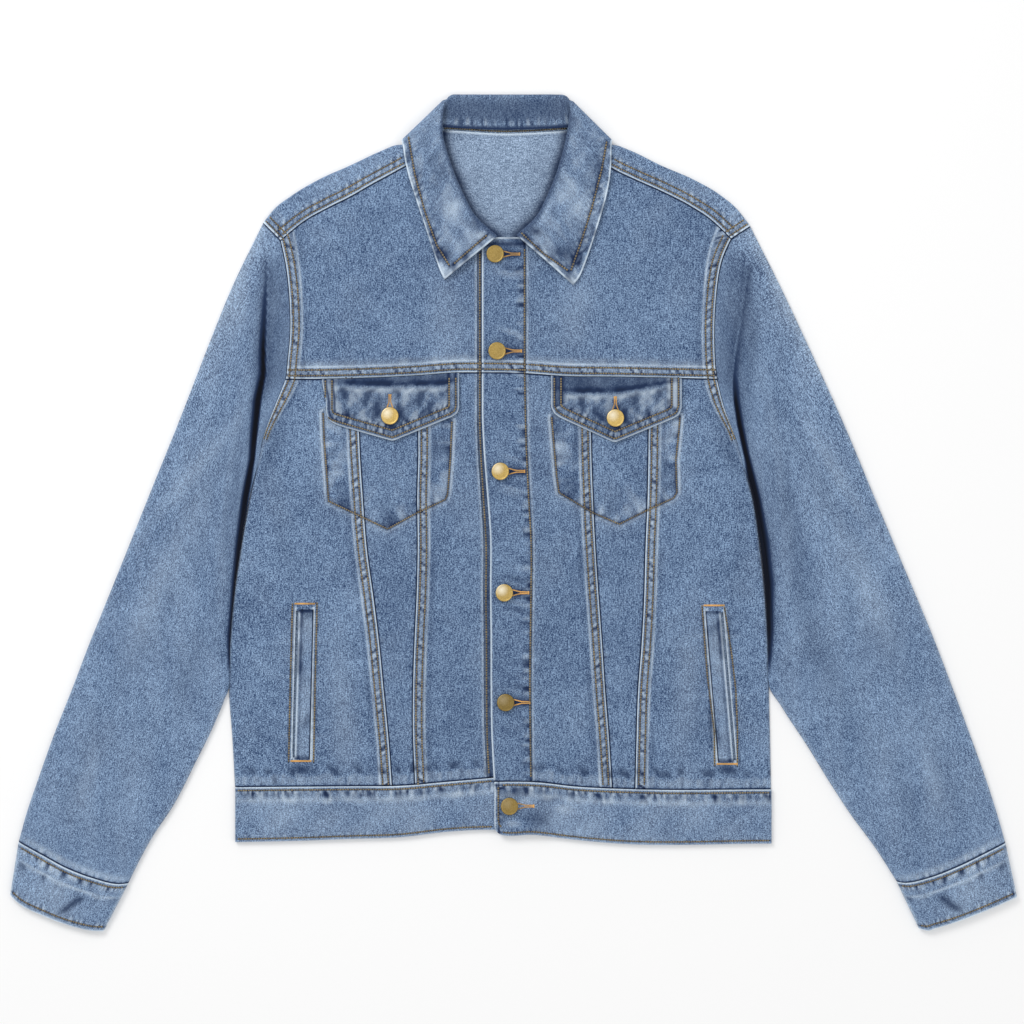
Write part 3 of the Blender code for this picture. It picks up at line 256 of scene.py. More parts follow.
# Collar: a row for each station from the middle of the back to the front end
COLLAR_COLUMNS = ("leaf_x", "leaf_y", "roll_x", "roll_y", "seam_x", "seam_y")
COLLAR = {
    "l": (
        (-5, 338, -5, 395.5, -5, 362),
        (-34, 338, -28, 395.5, -28, 362.6),
        (-64, 339, -47, 395.5, -52, 363.6),
        (-86, 341, -57, 395, -66, 364.6),
        (-101.6, 350.6, -62, 389, -73, 361),
        (-101.8, 342, -64.5, 372, -82, 352),
        (-98, 322, -64.5, 356, -86, 340),
        (-91, 299, -60, 339, -83, 325),
        (-83, 275, -53.5, 320, -74, 304),
        (-75, 251, -44.5, 300, -62, 285),
        (-68.5, 232, -34, 281, -49, 271),
        (-63.5, 221, -13.5, 261.5, -38, 260),
    ),
    "r": (
        (-5, 338, -5, 395.5, -5, 362),
        (24, 338, 19, 395.5, 19, 362.6),
        (54, 339, 39, 395.5, 42, 363.6),
        (76, 341, 50, 394.5, 56, 364.6),
        (91.8, 350.6, 54.5, 388, 64, 361),
        (93.2, 342, 53.5, 371, 72, 352),
        (92.5, 322, 51, 356, 76, 340),
        (88.5, 299, 46.5, 337, 72, 325),
        (81, 273, 40.5, 318, 63, 304),
        (72.5, 247, 32, 298, 52, 285),
        (64.5, 226, 22.5, 280, 40, 271),
        (57.5, 216, 4, 262.5, 28, 260),
    ),
}
# The collar's topstitching: down each leaf's outer edge, then back along its front edge
COLLAR_ROWS = {
    "l": (
        ((-97.2, 355), (-91.2, 319.6), (-81.8, 284.8), (-70.9, 253.8), (-58.8, 234)),
        ((-54.5, 235.5), (-23.5, 262.3)),
    ),
    "r": (
        ((88.9, 350.6), (84.2, 324.3), (74.8, 287.6), (65.3, 257.6), (55.3, 229.4)),
        ((52.5, 229.5), (30.1, 244.4), (8.5, 264.6)),
    ),
}
# Chest flaps: the lower edge's y at each x; and the crease under the yoke's seam, painted dark as a shadow:
# x, lower y, strength
FLAP = {
    "l": ((-178.5, 98), (-176, 90), (-170, 86), (-112, 69.5), (-56, 92.5), (-51, 96), (-49.5, 102)),
    "r": ((36.5, 102), (39.5, 95.5), (45, 91.5), (96.5, 68), (150, 90), (157, 94), (159.5, 102)),
}
FLAP_CREASE = {
    "l": (
        (-178, 122, 0.15), (-160, 121.5, 0.5), (-148, 120, 1), (-100, 119.5, 1), (-62, 120.5, 0.9),
        (-50, 124, 0.1),
    ),
    "r": (
        (38, 116, 0.15), (52, 114, 0.6), (60, 113, 1), (100, 113.5, 1), (134, 119, 0.8), (160, 124, 0.1),
    ),
}
# Stitched outlines of the chest pocket bags
POCKET = {
    "l": (
        (-177.5, 96), (-176.6, 70), (-174.6, 44), (-172.4, 13), (-117, -13.2), (-90, 1.6), (-62.5, 14.6),
        (-60.5, 20), (-58, 52), (-56.5, 88),
    ),
    "r": (
        (37.2, 92), (39.5, 65), (42, 37), (44.2, 21), (76, 2.2), (101, -8.6), (126, 4), (152, 16),
        (155, 21), (154, 52), (156, 70), (158, 92),
    ),
}
# Stitch rows beside the hand pockets' slits
POCKET_FRAMES = (
    ((-206.3, -82.5), (-208.2, -150), (-210, -232.4)), ((-183.2, -81.8), (-184.9, -150), (-186.6, -232.6)),
    ((178.6, -84.4), (183.5, -150), (190.2, -204), (190.6, -236)),
    ((199.6, -86), (206.4, -130), (210.4, -164), (211.9, -200), (211.9, -236.4)),
)
# Button centres
FRONT_BUTTONS = ((-15.8, 245), (-14, 154), (-11, 41), (-7.2, -73), (-6, -176), (-2.4, -273.4))
FLAP_BUTTONS = {"l": (-114.6, 93), "r": (97, 91)}
# Soft ridges (+) and troughs (-): x, y, length and width of each, its turn from +Y in degrees, and its depth
BODY_FOLDS = (
    (-225, 60, 60, 16, -22, -0.8), (205, 60, 60, 16, 22, -0.9), (-160, -175, 120, 26, 4, 0.5),
    (165, -160, 130, 26, -6, 0.5), (-60, 190, 90, 34, 12, 0.4), (60, 200, 90, 34, -10, 0.4),
    (-215, -20, 110, 14, 8, -0.4), (214, -40, 120, 14, -6, -0.4),
)
SLEEVE_FOLDS = (
    (-238, 150, 120, 13, 3, -1.5), (-262, 200, 120, 30, -20, 0.7), (-330, -60, 150, 24, -24, 0.6),
    (-300, -140, 120, 20, -20, -0.9), (-400, -230, 110, 22, -18, -0.7), (-262, 20, 110, 13, -8, -1),
    (225, 150, 120, 14, -6, -1.5), (262, 200, 120, 30, 20, 0.7), (262, 0, 200, 22, 12, -1.3),
    (330, -60, 150, 26, 24, 0.6), (300, -150, 120, 22, 24, -0.9), (402, -230, 110, 22, 18, -0.7),
)
SLEEVE_WRINKLES = (
    (-300, 40, 150, 16, -40, 0.35), (-282, 30, 150, 14, -40, -0.4), (-345, -120, 120, 22, -34, -0.35),
    (-400, -250, 90, 18, -20, 0.3), (-372, -262, 100, 15, -22, -0.35), (-352, -316, 50, 7, -42, -0.5),
    (-346, -310, 50, 6, -42, 0.45), (-318, 150, 120, 20, -28, 0.25), (286, 40, 160, 18, 30, -0.4),
    (306, 36, 150, 16, 32, 0.35), (268, -70, 120, 14, 16, -0.4), (345, -120, 120, 22, 34, -0.3),
    (396, -250, 90, 18, 20, 0.3), (370, -262, 100, 15, 22, -0.35), (318, 150, 120, 20, 28, 0.25),
)
# Deep-dyed (+) and pale (-) places of the collar and of the band's over end: x, y, both radii, strength
COLLAR_PLACES = (
    (-72, 247, 13, 6, 0.62), (-62, 243, 7, 6, 0.5), (-33, 272, 8, 7, 0.5), (-40, 262, 6, 8, -0.3),
    (-60, 226, 7, 7, -0.95), (-50, 252, 9, 8, -0.22), (-88, 312, 4, 20, 0.16), (-58, 290, 14, 10, -0.2),
    (-28, 262, 5, 5, -0.7), (50, 246, 12, 7, 0.6), (60, 240, 7, 8, 0.5), (22, 266, 9, 5, 0.5),
    (35, 272, 9, 9, -0.25), (56, 219, 6, 6, -0.9), (66, 285, 9, 16, -0.2), (80, 320, 4, 22, 0.18),
)
BAND_PLACES = (
    (24, -286, 14, 8, 0.55), (4, -261.5, 14, 4, 0.5), (-9, -285, 4, 9, 0.4), (12, -268, 7, 4, -0.3),
    (34, -268, 12, 4, 0.35), (2, -290, 12, 3, -0.3), (48, -276, 9, 5, -0.2),
)
# The valley between each sleeve and the body, painted dark as a shadow, from the shoulder down: x, y, width,
# how far it fades out
VALLEY = {
    "l": (
        (-231, 258, 0, 3), (-230, 221, 0.3, 4), (-232, 160, 2, 3), (-231.5, 132, 3.2, 2.5),
        (-236, 108, 4.2, 3), (-239, 80, 4, 2.5), (-242, 52, 3.2, 2), (-249, 17, 3, 2),
        (-255.5, -27, 2.6, 2), (-261, -69, 2, 2), (-265.5, -114, 1.6, 2), (-266.5, -150, 1, 1),
    ),
    "r": (
        (222, 232, 0, 5), (218, 202, 0, 6), (211, 156, 0, 7), (207.5, 132, 0.5, 5), (208.5, 108, 2.2, 3),
        (212, 84, 3, 2.5), (218, 57, 3, 2), (228, 14, 3.6, 2.5), (233.5, -24, 4.5, 3.5),
        (238.5, -64, 3.6, 4), (241.5, -114, 2, 3), (242.5, -150, 1, 1),
    ),
}
# A button's section: radius and height
BUTTON_PROFILE = (
    (0, 0), (3.9, 0), (4.2, 0.1), (4.2, 0.85), (6.6, 0.9), (7.5, 0.95), (8, 1.2), (8.2, 1.6), (8.15, 2.1),
    (7.95, 2.4), (7.65, 2.55), (7.3, 2.55), (7, 2.46), (6.75, 2.38), (6.4, 2.36), (5.4, 2.43), (4.2, 2.52),
    (3, 2.6), (1.6, 2.65), (0, 2.67),
)
# Each button's lighting, from the collar down and last the flaps': name, brightness, strength of its painted
# highlight on the upper left side. The brightness is painted light and shade: lighter and darker copies of
# one brass for how the light falls on each button.
BUTTON_LIGHTING = (
    ("brass_painted_light_1", 0.8, 0), ("brass_painted_light_2", 0.9, 0), ("brass_painted_light_3", 1.22, 0.55),
    ("brass_painted_light_4", 1.12, 0.65), ("brass_painted_light_5", 0.54, 0.12), ("brass_painted_light_6", 0.66, 0.08),
    ("brass_painted_light_flaps", 1.4, 0.6),
)
# How much deeper the dye of some pieces is
DYED = (
    ("front_side", 0.11), ("front_middle", 0.17), ("front_centre", 0.17),
    ("front_yoke", 0.14), ("placket", 0.2), ("flap", 0.34), ("welt", 0.12),
    ("waistband", 0.04), ("collar", 0.06),
)
# The flat cut of what shows of each piece: width, length and area in metres, and what it lies on
SHEETS = {
    "back_body": (0.506, 0.409, 0.193, "floor"),
    "back_yoke": (0.455, 0.222, 0.090, "floor"),
    "front_side_l": (0.153, 0.384, 0.0455, "back_body"),
    "front_side_r": (0.128, 0.388, 0.0400, "back_body"),
    "front_middle_l": (0.061, 0.386, 0.0161, "back_body"),
    "front_middle_r": (0.060, 0.388, 0.0166, "back_body"),
    "front_centre_l": (0.070, 0.387, 0.0245, "back_body"),
    "front_centre_r": (0.081, 0.390, 0.0254, "back_body"),
    "front_yoke_l": (0.185, 0.214, 0.0313, "back_yoke"),
    "front_yoke_r": (0.193, 0.214, 0.0320, "back_yoke"),
    "placket_under": (0.043, 0.508, 0.0193, "back_body"),
    "placket_over": (0.046, 0.512, 0.0210, "placket_under"),
    "sleeve_l": (0.433, 0.624, 0.125, "floor"),
    "sleeve_r": (0.427, 0.624, 0.143, "floor"),
    "cuff_l": (0.214, 0.049, None, "floor"),
    "cuff_r": (0.214, 0.049, None, "floor"),
    "waistband": (0.051, 1.045, None, "floor"),
    "collar": (0.424, 0.098, 0.0341, "back_yoke", "front_yoke_l", "front_yoke_r"),
    "flap_l": (0.128, 0.063, 0.0065, "front_side_l", "front_middle_l", "front_centre_l"),
    "flap_r": (0.122, 0.062, 0.0062, "front_side_r", "front_middle_r", "front_centre_r"),
    "welt_l": (0.017, 0.141, None, "front_side_l"),
    "welt_r": (0.017, 0.141, None, "front_side_r"),
}


# ---------------------------------------------------------------- curves

def ease(value):
    """Soft step from 0 to 1."""
    v = np.clip(value, 0, 1)
    return v * v * (3 - 2 * v)


def mix(a, b, share):
    return a + (b - a) * share


def peak(distance, width):
    """1 at no distance, dying away over this width."""
    return np.exp(-((distance / width) ** 2))


def spot(dx, dy, rx, ry):
    """1 at its centre, dying away over its radii in x and y."""
    return np.exp(-((dx / rx) ** 2) - (dy / ry) ** 2)


def between(value, low, high, rise, fall):
    """Soft window: it rises from the low limit on and has fallen to nothing at the high one."""
    return ease((value - low) / rise) * ease((high - value) / fall)


def xyz(*parts):
    return np.stack(np.broadcast_arrays(*parts), axis=-1)


def through(rows, value=1):
    """A smooth curve through rows of (position, values...), read at any position."""
    ordered = sorted(rows)
    at = np.array([row[0] for row in ordered], float)
    values = np.array([row[value] for row in ordered], float)
    slopes = np.gradient(values, at)

    def read(position):
        place = np.clip(np.asarray(position, float), at[0], at[-1])
        k = np.clip(np.searchsorted(at, place, side="right") - 1, 0, len(at) - 2)
        width = at[k + 1] - at[k]
        s = (place - at[k]) / width
        start = (2 * s**3 - 3 * s**2 + 1) * values[k] + (s**3 - 2 * s**2 + s) * width * slopes[k]
        end = (3 * s**2 - 2 * s**3) * values[k + 1] + (s**3 - s**2) * width * slopes[k + 1]
        return start + end

    return read


def plane_curve(rows):
    """Points of a curve through rows of a share, x and y."""
    x, y = through(rows, 1), through(rows, 2)
    return lambda share: xyz(x(share), y(share))


def halves(table, kind=through):
    """The curve through each half's rows."""
    return {side: kind(rows) for side, rows in table.items()}


def stations(names, rows):
    """The curve of each named column against the number of its row."""
    numbered = [(number, *row) for number, row in enumerate(rows)]
    return {name: through(numbered, k) for k, name in enumerate(names, start=1)}


def station_point(read, part, s):
    return np.array([float(read[part + "_x"](s)), float(read[part + "_y"](s))])


SEAM = {name: through(SEAM_ROWS, k) for k, name in enumerate(SEAM_COLUMNS) if k}
yoke_seam = through(YOKE_SEAM)
shoulder_fold = through(SHOULDER_FOLD)
neck_seam = through(NECK_SEAM)
hems = halves(HEM)
waists = halves(WAIST_BOTTOM)
armholes = halves(ARMHOLE)
shoulders = halves(SHOULDER_SEAM)
necklines = halves(NECKLINE)
slits = {side: (through(rows, 1), through(rows, 2)) for side, rows in SLIT.items()}
cuff_tops = halves(CUFF_TOP, plane_curve)
cuff_ends = halves(CUFF_END, plane_curve)


def run_along(points, axis=0):
    """Length from the start of a line of points, or of every line of a grid, to each point."""
    steps = np.linalg.norm(np.diff(points, axis=axis), axis=-1)
    return np.insert(np.cumsum(steps, axis=axis), 0, 0, axis=axis)


def spots(x, y, places):
    """Strengths of all the places that a table names, added up."""
    return sum(strength * spot(x - px, y - py, rx, ry) for px, py, rx, ry, strength in places)


def from_line(x, y, line):
    """Distance to an outline, place along it, and the side of it (positive inside a pocket)."""
    best = np.full(np.shape(x), 1e9)
    along_best = np.zeros(np.shape(x))
    side_best = np.ones(np.shape(x))
    run = 0
    for (ax, ay), (bx, by) in zip(line, line[1:]):
        length = math.hypot(bx - ax, by - ay)
        tx, ty = (bx - ax) / length, (by - ay) / length
        along = np.clip((x - ax) * tx + (y - ay) * ty, 0, length)
        dx, dy = x - (ax + tx * along), y - (ay + ty * along)
        distance = np.hypot(dx, dy)
        near = distance < best
        best = np.where(near, distance, best)
        along_best = np.where(near, run + along, along_best)
        side_best = np.where(near, np.sign(tx * dy - ty * dx), side_best)
        run += length
    return best, along_best, side_best


def folds(x, y, rows):
    """Height of the soft troughs and ridges at a place."""
    total = np.zeros(np.broadcast(x, y).shape)
    for fold_x, fold_y, length, width, turn, depth in rows:
        cos, sin = math.cos(math.radians(turn)), math.sin(math.radians(turn))
        along = (y - fold_y) * cos - (x - fold_x) * sin
        across = (x - fold_x) * cos + (y - fold_y) * sin
        total = total + depth * spot(along, across, 0.5 * length, 0.5 * width)
    return total


def creases(x, y, seed):
    """Small soft unevenness of washed cloth, about -1 to 1."""
    bent_x, bent_y = x / 17 + np.sin(y / 29 + seed), y / 23 + np.sin(x / 37)
    total = np.sin(bent_x + 1.3 * seed) * np.sin(bent_y + 0.7 * seed)
    total = total + 0.6 * np.sin(x / 7.1 + np.sin(y / 11 + seed) * 1.4) * np.sin(y / 9.3 + seed)
    return total / 1.6


def ripple(along, seed, length=6):
    """Uneven ripples along a seam, from about -1 to 1."""
    a = along / length + seed * 7.31
    turn = 2 * np.pi * a
    wave = np.sin(turn) + 0.7 * np.sin(1.73 * turn + seed) + 0.6 * np.sin(0.61 * turn + 2 * seed)
    return wave / 2.3 * (0.65 + 0.35 * np.sin(0.17 * turn + 3.1 * seed))


def tucks(d, along, seed, reach, length):
    """Dark tucks and pale folds that a row of stitches pulls into the cloth beside it."""
    wave = ripple(along, seed, length)
    local = reach * (0.8 + 0.4 * ripple(along, seed + 2, 2.3 * length))
    window = between(d, 0, local, 1.2, 0.5 * reach)
    return ease(-wave * 2.4 - 0.1) * window, ease(wave * 2.2) * window


def rubbed(d, width):
    """A rubbed edge: pale right up to its rim, then fading."""
    return 1.1 * ease((width - d) / 1.1)


def neck_lift(x, y):
    """How far the layers stand clear of the surface over the collar's folded-under leaf."""
    return COLLAR_LIFT * ease((y - 298) / 30) * ease((114 - abs(x + 5)) / 20)


def underside(x, y):
    """Height of the front layer's underside: low at sides, hem and shoulders, fuller in between."""
    across = np.clip((x + 8) / 245, -1, 1)
    full = (1 - across**4) * between(y, -262, 330, 90, 130)
    placket = np.exp(-(((x + 4) / 30) ** 4))
    return LIFT + FULLNESS * full * (1 - 0.6 * placket) + folds(x, y, BODY_FOLDS) + neck_lift(x, y)


def edge_effect(kind, d, along, seed, rows=(BOUND_ROW,)):
    """Height, wear and darkening near one edge of a panel, by the edge's kind; the darkening mixes deeper dye
    with painted shade.
    """
    wave = ripple(along, seed)
    slow = 0.5 + 0.5 * np.sin(along / 31 + seed * 5) * np.sin(along / 13 + seed)
    trough = ease(-wave * 2.2)
    if kind == "felled":
        window = between(d, 2.2, 10.2, 1.2, 1.6)
        slanted = ripple(along + 0.6 * d, seed, 7)
        sunk = peak(d - ROWS_APART[0], 1) + 0.6 * peak(d - ROWS_APART[1], 1)
        height = FELL_RISE * (1 - ease((d - 9.6) / 1.4)) - 0.35 * peak(d, 0.45)
        height = height + 0.28 * slanted * window - 0.24 * sunk
        worn = rubbed(d, 1.55) * (0.75 + 0.25 * slow) + (0.16 + 0.42 * ease(slanted * 2)) * window
        worn = worn + (0.30 + 0.36 * slow) * peak(d - 10.9, 0.9)
        # Darker in the tucks' troughs (deeper dye and painted shade), painted shade in the stitch rows' dips,
        # and a painted shadow just beyond the band
        deep = 0.78 * ease(-slanted * 2.2 - 0.1) * window + 0.5 * sunk
        deep = deep + 0.26 * peak(d - 14.6, 2.2) * (1.2 - slow)
    elif kind == "under":
        pulled, lifted = tucks(d, along, seed + 1, 6, 7)
        height = -0.55 * peak(d, 1.2) + 0.2 * (lifted - pulled)
        worn = 0.10 * lifted
        # A painted shadow along the edge, cast by the neighbour that lies over it; the tucks are darker with
        # deeper dye and painted shade
        deep = 1.05 * ease((1.5 - d) / 0.9) + 0.34 * pulled
    elif kind == "folded":
        height = -0.4 * peak(d, 0.6)
        worn = rubbed(d, 2) * (0.80 + 0.20 * slow)
        deep = 0.12 * peak(d - 3.5, 1.5)
    elif kind == "bound":
        reach = max(rows, default=2) + 6
        window = between(d, 1.8, reach, 1.2, 4.5)
        sunk = sum((peak(d - place, 1.05) for place in rows), 0 * d)
        height = -0.45 * peak(d, 0.5) + 0.30 * wave * window - 0.26 * sunk
        worn = rubbed(d, 1.5) * (0.54 + 0.26 * slow) + 0.45 * ease(wave * 2.2) * window
        # Darker in the tucks' troughs (deeper dye and painted shade), and painted shade in the stitch rows'
        # dips
        deep = 0.50 * trough * window + 0.55 * sunk
    elif kind == "flush":
        height = 0.12 * wave * np.exp(-d / 6)
        worn = (0.22 + 0.20 * slow) * peak(d - 1.4, 0.9) + 0.06 * np.exp(-d / 5)
        deep = 0.22 * trough * np.exp(-d / 8)
    elif kind == "sewn":
        pulled, lifted = tucks(d, along, seed + 3, 13, 12)
        height = -0.28 * peak(d - 1.2, 0.9) + 0.30 * (lifted - pulled)
        worn = 0.30 * lifted
        # Darker in the tucks (deeper dye and painted shade), and a painted shadow along the seam line
        deep = 0.75 * pulled + 0.60 * peak(d - 1.2, 1)
    else:
        height, worn, deep = -0.3 * peak(d, 0.5), 0.5 * peak(d, 0.8), 0
    return np.stack(np.broadcast_arrays(height, worn, deep))


# ---------------------------------------------------------------- cloth

def boundary(quads):
    """Directed edges that only one quad has."""
    ends = np.concatenate([np.stack([quads[:, k], quads[:, (k + 1) % 4]], axis=1) for k in range(4)])
    _, first, count = np.unique(np.sort(ends, axis=1), axis=0, return_index=True, return_counts=True)
    return ends[first[count == 1]]


def grid_faces(keep, rows, columns, total):
    """Quads between the chosen rows and columns of a grid of points, where its cells are kept."""
    i, j = np.meshgrid(np.arange(len(rows) - 1), np.arange(len(columns) - 1), indexing="ij")
    kept = keep[rows[i], columns[j]]
    low, high = rows[i[kept]] * total, rows[i[kept] + 1] * total
    left, right = columns[j[kept]], columns[j[kept] + 1] % total
    return np.stack([low + left, low + right, high + right, high + left], axis=1)


def steps_between(a, b, total, ring):
    """The grid's points from a to b, along one row or one column."""
    (row_a, column_a), (row_b, column_b) = divmod(a, total), divmod(b, total)
    if row_a == row_b:
        way = column_b - column_a
        if ring and abs(way) > total / 2:
            way -= math.copysign(total, way)
        steps = range(0, int(way), 1 if way > 0 else -1)
        return [row_a * total + (column_a + k) % total for k in steps] + [b]
    return list(range(a, b, total if row_b > row_a else -total)) + [b]


def thinned(count, changes, step):
    """Every few lines of a grid, with its first and last and those where its kept cells change."""
    return np.unique(np.concatenate([np.arange(0, count, step), np.nonzero(changes)[0] + 1, [count - 1]]))


def face_mesh(name, points, loops, sizes, slots):
    """A smooth mesh from its points, its faces' corners one after another, their sizes and material slots."""
    mesh = bpy.data.meshes.new(name)
    mesh.vertices.add(len(points))
    mesh.vertices.foreach_set("co", points.astype(np.float32).ravel())
    mesh.loops.add(len(loops))
    mesh.loops.foreach_set("vertex_index", loops.astype(np.int32))
    mesh.polygons.add(len(sizes))
    mesh.polygons.foreach_set("loop_start", (np.cumsum(sizes) - sizes).astype(np.int32))
    mesh.polygons.foreach_set("material_index", slots.astype(np.int32))
    mesh.update(calc_edges=True)
    mesh.validate()
    mesh.shade_smooth()
    return mesh


def quad_mesh(name, points, quads, slots=None):
    slots = np.zeros(len(quads), int) if slots is None else slots
    return face_mesh(name, points, quads.ravel(), np.full(len(quads), 4), slots)


def add_object(name, data, *materials):
    made = bpy.data.objects.new(name, data)
    bpy.context.scene.collection.objects.link(made)
    for material in materials:
        data.materials.append(material)
    return made


def add_piece(name, mesh, slot, *materials, at=(0, 0, 0)):
    """Puts a mesh into the scene as a piece that rides the part's one body."""
    piece = add_object(name, mesh, *materials)
    piece.location = at
    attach(piece, "root")
    return piece


def cloth(name, outer, inner, plan, worn, deep, keep=None, ring=False, inside=(0.1, 0), thin=HIDDEN_STEP):
    """A cloth piece between two grids of points, with weave and wear; its hidden face has fewer points."""
    outer, inner, plan = np.array(outer), np.array(inner), np.array(plan)
    rows, columns, _ = outer.shape
    across = columns + 1 if ring else columns
    keep = np.ones((rows - 1, across - 1), bool) if keep is None else keep
    row_lines = thinned(rows, (keep[1:] != keep[:-1]).any(axis=1), thin)
    column_lines = thinned(across, (keep[:, 1:] != keep[:, :-1]).any(axis=0), thin)
    face = grid_faces(keep, np.arange(rows), np.arange(across), columns)
    coarse = grid_faces(keep, row_lines, column_lines, columns)
    step = rows * columns
    back = coarse[:, ::-1] + step
    rims = [steps_between(b, a, columns, ring) + [a + step, b + step] for a, b in boundary(coarse).tolist()]
    points = (np.concatenate([outer.reshape(-1, 3), inner.reshape(-1, 3)]) - (*CENTRE, 0)) * MM
    sides = np.concatenate([face, back])
    corner = points[sides]
    normal = np.cross(corner[:, 2] - corner[:, 0], corner[:, 3] - corner[:, 1])
    if (corner.mean(axis=1) * normal).sum() < 0:
        sides = sides[:, ::-1]
        rims = [rim[::-1] for rim in rims]
    loops = np.concatenate([sides.ravel(), np.concatenate(rims)])
    sizes = np.concatenate([np.full(len(sides), 4), [len(rim) for rim in rims]])
    slots = np.repeat([0, 1, 0], [len(face), len(back), len(rims)])
    used, loops = np.unique(loops, return_inverse=True)
    mesh = face_mesh("cloth_" + name, points[used], loops, sizes, slots)
    weave = np.concatenate([plan.reshape(-1, 2)] * 2)[used] * MM
    mesh.uv_layers.new(name="weave").data.foreach_set("uv", weave[loops].ravel())
    deep = deep + next((value for start, value in DYED if name.startswith(start)), 0)
    # deep holds all the darkening: deeper dye and painted shade alike
    for label, faces in (("worn", (worn, inside[0])), ("deep", (deep, inside[1]))):
        values = [np.broadcast_to(value, (rows, columns)).reshape(-1) for value in faces]
        values = np.concatenate(values)[used]
        attribute = mesh.attributes.new(label, "FLOAT", "POINT")
        attribute.data.foreach_set("value", np.clip(values, 0, 2).astype(np.float32))
    mesh.set_sharp_from_angle(angle=math.radians(48))
    faces = denim_material("washed_denim"), denim_material("denim_wrong_side")
    piece = add_piece("cloth_" + name, mesh, "denim", *faces)
    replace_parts(piece, name)
    width, length, area, *below = SHEETS[name]
    below = [other if other == "floor" else "cloth_" + other for other in below]
    return piece


def panel(name, x, y, low, high, worn, deep, seed, keep=None):
    """A cloth piece from the heights of its underside and its upper side over the same places."""
    return cloth(name, xyz(x, y, high), xyz(x, y, low), xyz(x, y + 1000 * seed), worn, deep, keep)


# ---------------------------------------------------------------- fronts

class Grid:
    """Places of one panel's points: heights along its rows, x along its columns, distances to its edges."""

    def __init__(self, left, right, bottom, top, span, kinds, dense=None):
        zone = {side: np.array(ZONES.get(kind, UNDER_ZONE), float) for side, kind in kinds.items()}
        low, high = span[0] + zone["bottom"], span[1] - zone["top"][::-1]
        inside = self.spaced(*span)
        if dense is not None:
            extra = (dense + np.arange(-5, 14, 0.6) - low[-1]) / (high[0] - low[-1])
            away = (inside < extra[0]) | (inside > extra[-1])
            inside = np.sort(np.concatenate([inside[away], extra]))
        n = np.concatenate([low, mix(low[-1], high[0], inside), high])[:, None]
        x_left, x_right = left(n), right(n)
        first, last = zone["left"], zone["right"][::-1]
        middle = mix(x_left + first[-1], x_right - last[0], self.spaced(x_left.mean(), x_right.mean()))
        x = np.concatenate([x_left + HALF + first, middle, x_right - HALF - last], axis=1)
        y_low, y_high = bottom(x) + HALF, top(x) - HALF
        mid_rows = slice(len(low), len(low) + len(inside))
        start, stop = zone["bottom"][-1], zone["top"][-1]
        low_part = y_low[: mid_rows.start] + zone["bottom"][:, None]
        mid_part = mix(y_low[mid_rows] + start, y_high[mid_rows] - stop, inside[:, None])
        high_part = y_high[mid_rows.stop :] - zone["top"][::-1, None]
        y = np.concatenate([low_part, mid_part, high_part])
        steep = [np.sqrt(1 + np.gradient(side[:, 0], n[:, 0])[:, None] ** 2) for side in (x_left, x_right)]
        self.n, self.x, self.y, self.kinds = n, x, y, kinds
        self.edge = {
            "left": (x - x_left) / steep[0], "right": (x_right - x) / steep[1],
            "bottom": y - y_low, "top": y_high - y,
        }

    @staticmethod
    def spaced(start, stop):
        """Shares from 0 to 1, apart by about the cloth's fine spacing over a width."""
        return np.linspace(0, 1, max(2, int(round(abs(stop - start) / FINE))) + 1)[1:-1]

    def effects(self, seed, rows):
        """Sum of the heights, wear and depth of colour of the four edges."""
        total = np.zeros((3, *self.x.shape))
        for number, side in enumerate(("left", "right", "bottom", "top")):
            if self.kinds[side] != "side":
                along = self.y if side in ("left", "right") else self.x
                total += edge_effect(self.kinds[side], self.edge[side], along, seed + number, rows)
        return total


def placket_lift(x, y):
    """Rise of the right front towards the over placket that carries it."""
    return PLACKET_STEP * ease((SEAM["placket"](y) + 14 - x) / 22)


def side_edge(half, y):
    """The body's outer edge: side seam below the underarm, armhole above it."""
    return np.where(np.asarray(y) <= YOKE_Y, SEAM["side_" + half](y), armholes[half](y))


def front_height(y, x, half):
    """Height on the body of a nominal height: stretched to meet the hem and the yoke's seam."""
    return mix(hems[half](x), yoke_seam(x), (y - HEM_Y) / (YOKE_Y - HEM_Y))


def under_seam(y):
    return SEAM["edge"](y) - PLACKET_PEEP


def arm_band(y):
    """How wide the armhole's felled band is, as a share of its full width."""
    return 0.45 + 0.55 * ease((y - ARM_BAND_END) / 55)


def pocket_effect(x, y, line, seed):
    """The bag of a chest pocket behind the front: its stitched outline, fullness and puckers."""
    distance, along, side = from_line(x, y, line)
    wave = ripple(along, seed, 15)
    inside = 0.5 + 0.5 * side
    outside = 1 - inside
    near = np.exp(-distance / 9)
    far = inside * np.exp(-distance / 17)
    bulge = inside * 0.5 * (1 - np.exp(-distance / 3)) * ease((30 - distance) / 30)
    height = bulge - 0.32 * peak(distance, 0.8) + 0.30 * wave * near * (0.3 + 0.7 * inside)
    patch = creases(x * 2.1, y * 1.7, seed + 5)
    by_side = ease((y - 14) / 14)
    worn = (0.16 + 0.36 * by_side) * outside * peak(distance - 2.4, 1.2)
    worn = worn + 0.13 * outside * np.exp(-distance / 6)
    worn = worn + 0.30 * ease(wave * 1.8) * near * inside + 0.30 * ease(patch * 2) * far
    deep = 0.42 * ease(-wave * 1.8) * near * inside + 0.42 * ease(-patch * 2) * far
    # The dark line on the stitched outline is painted shade in its groove
    return height, worn, deep + (0.85 + 0.05 * by_side) * peak(distance, 1.15)


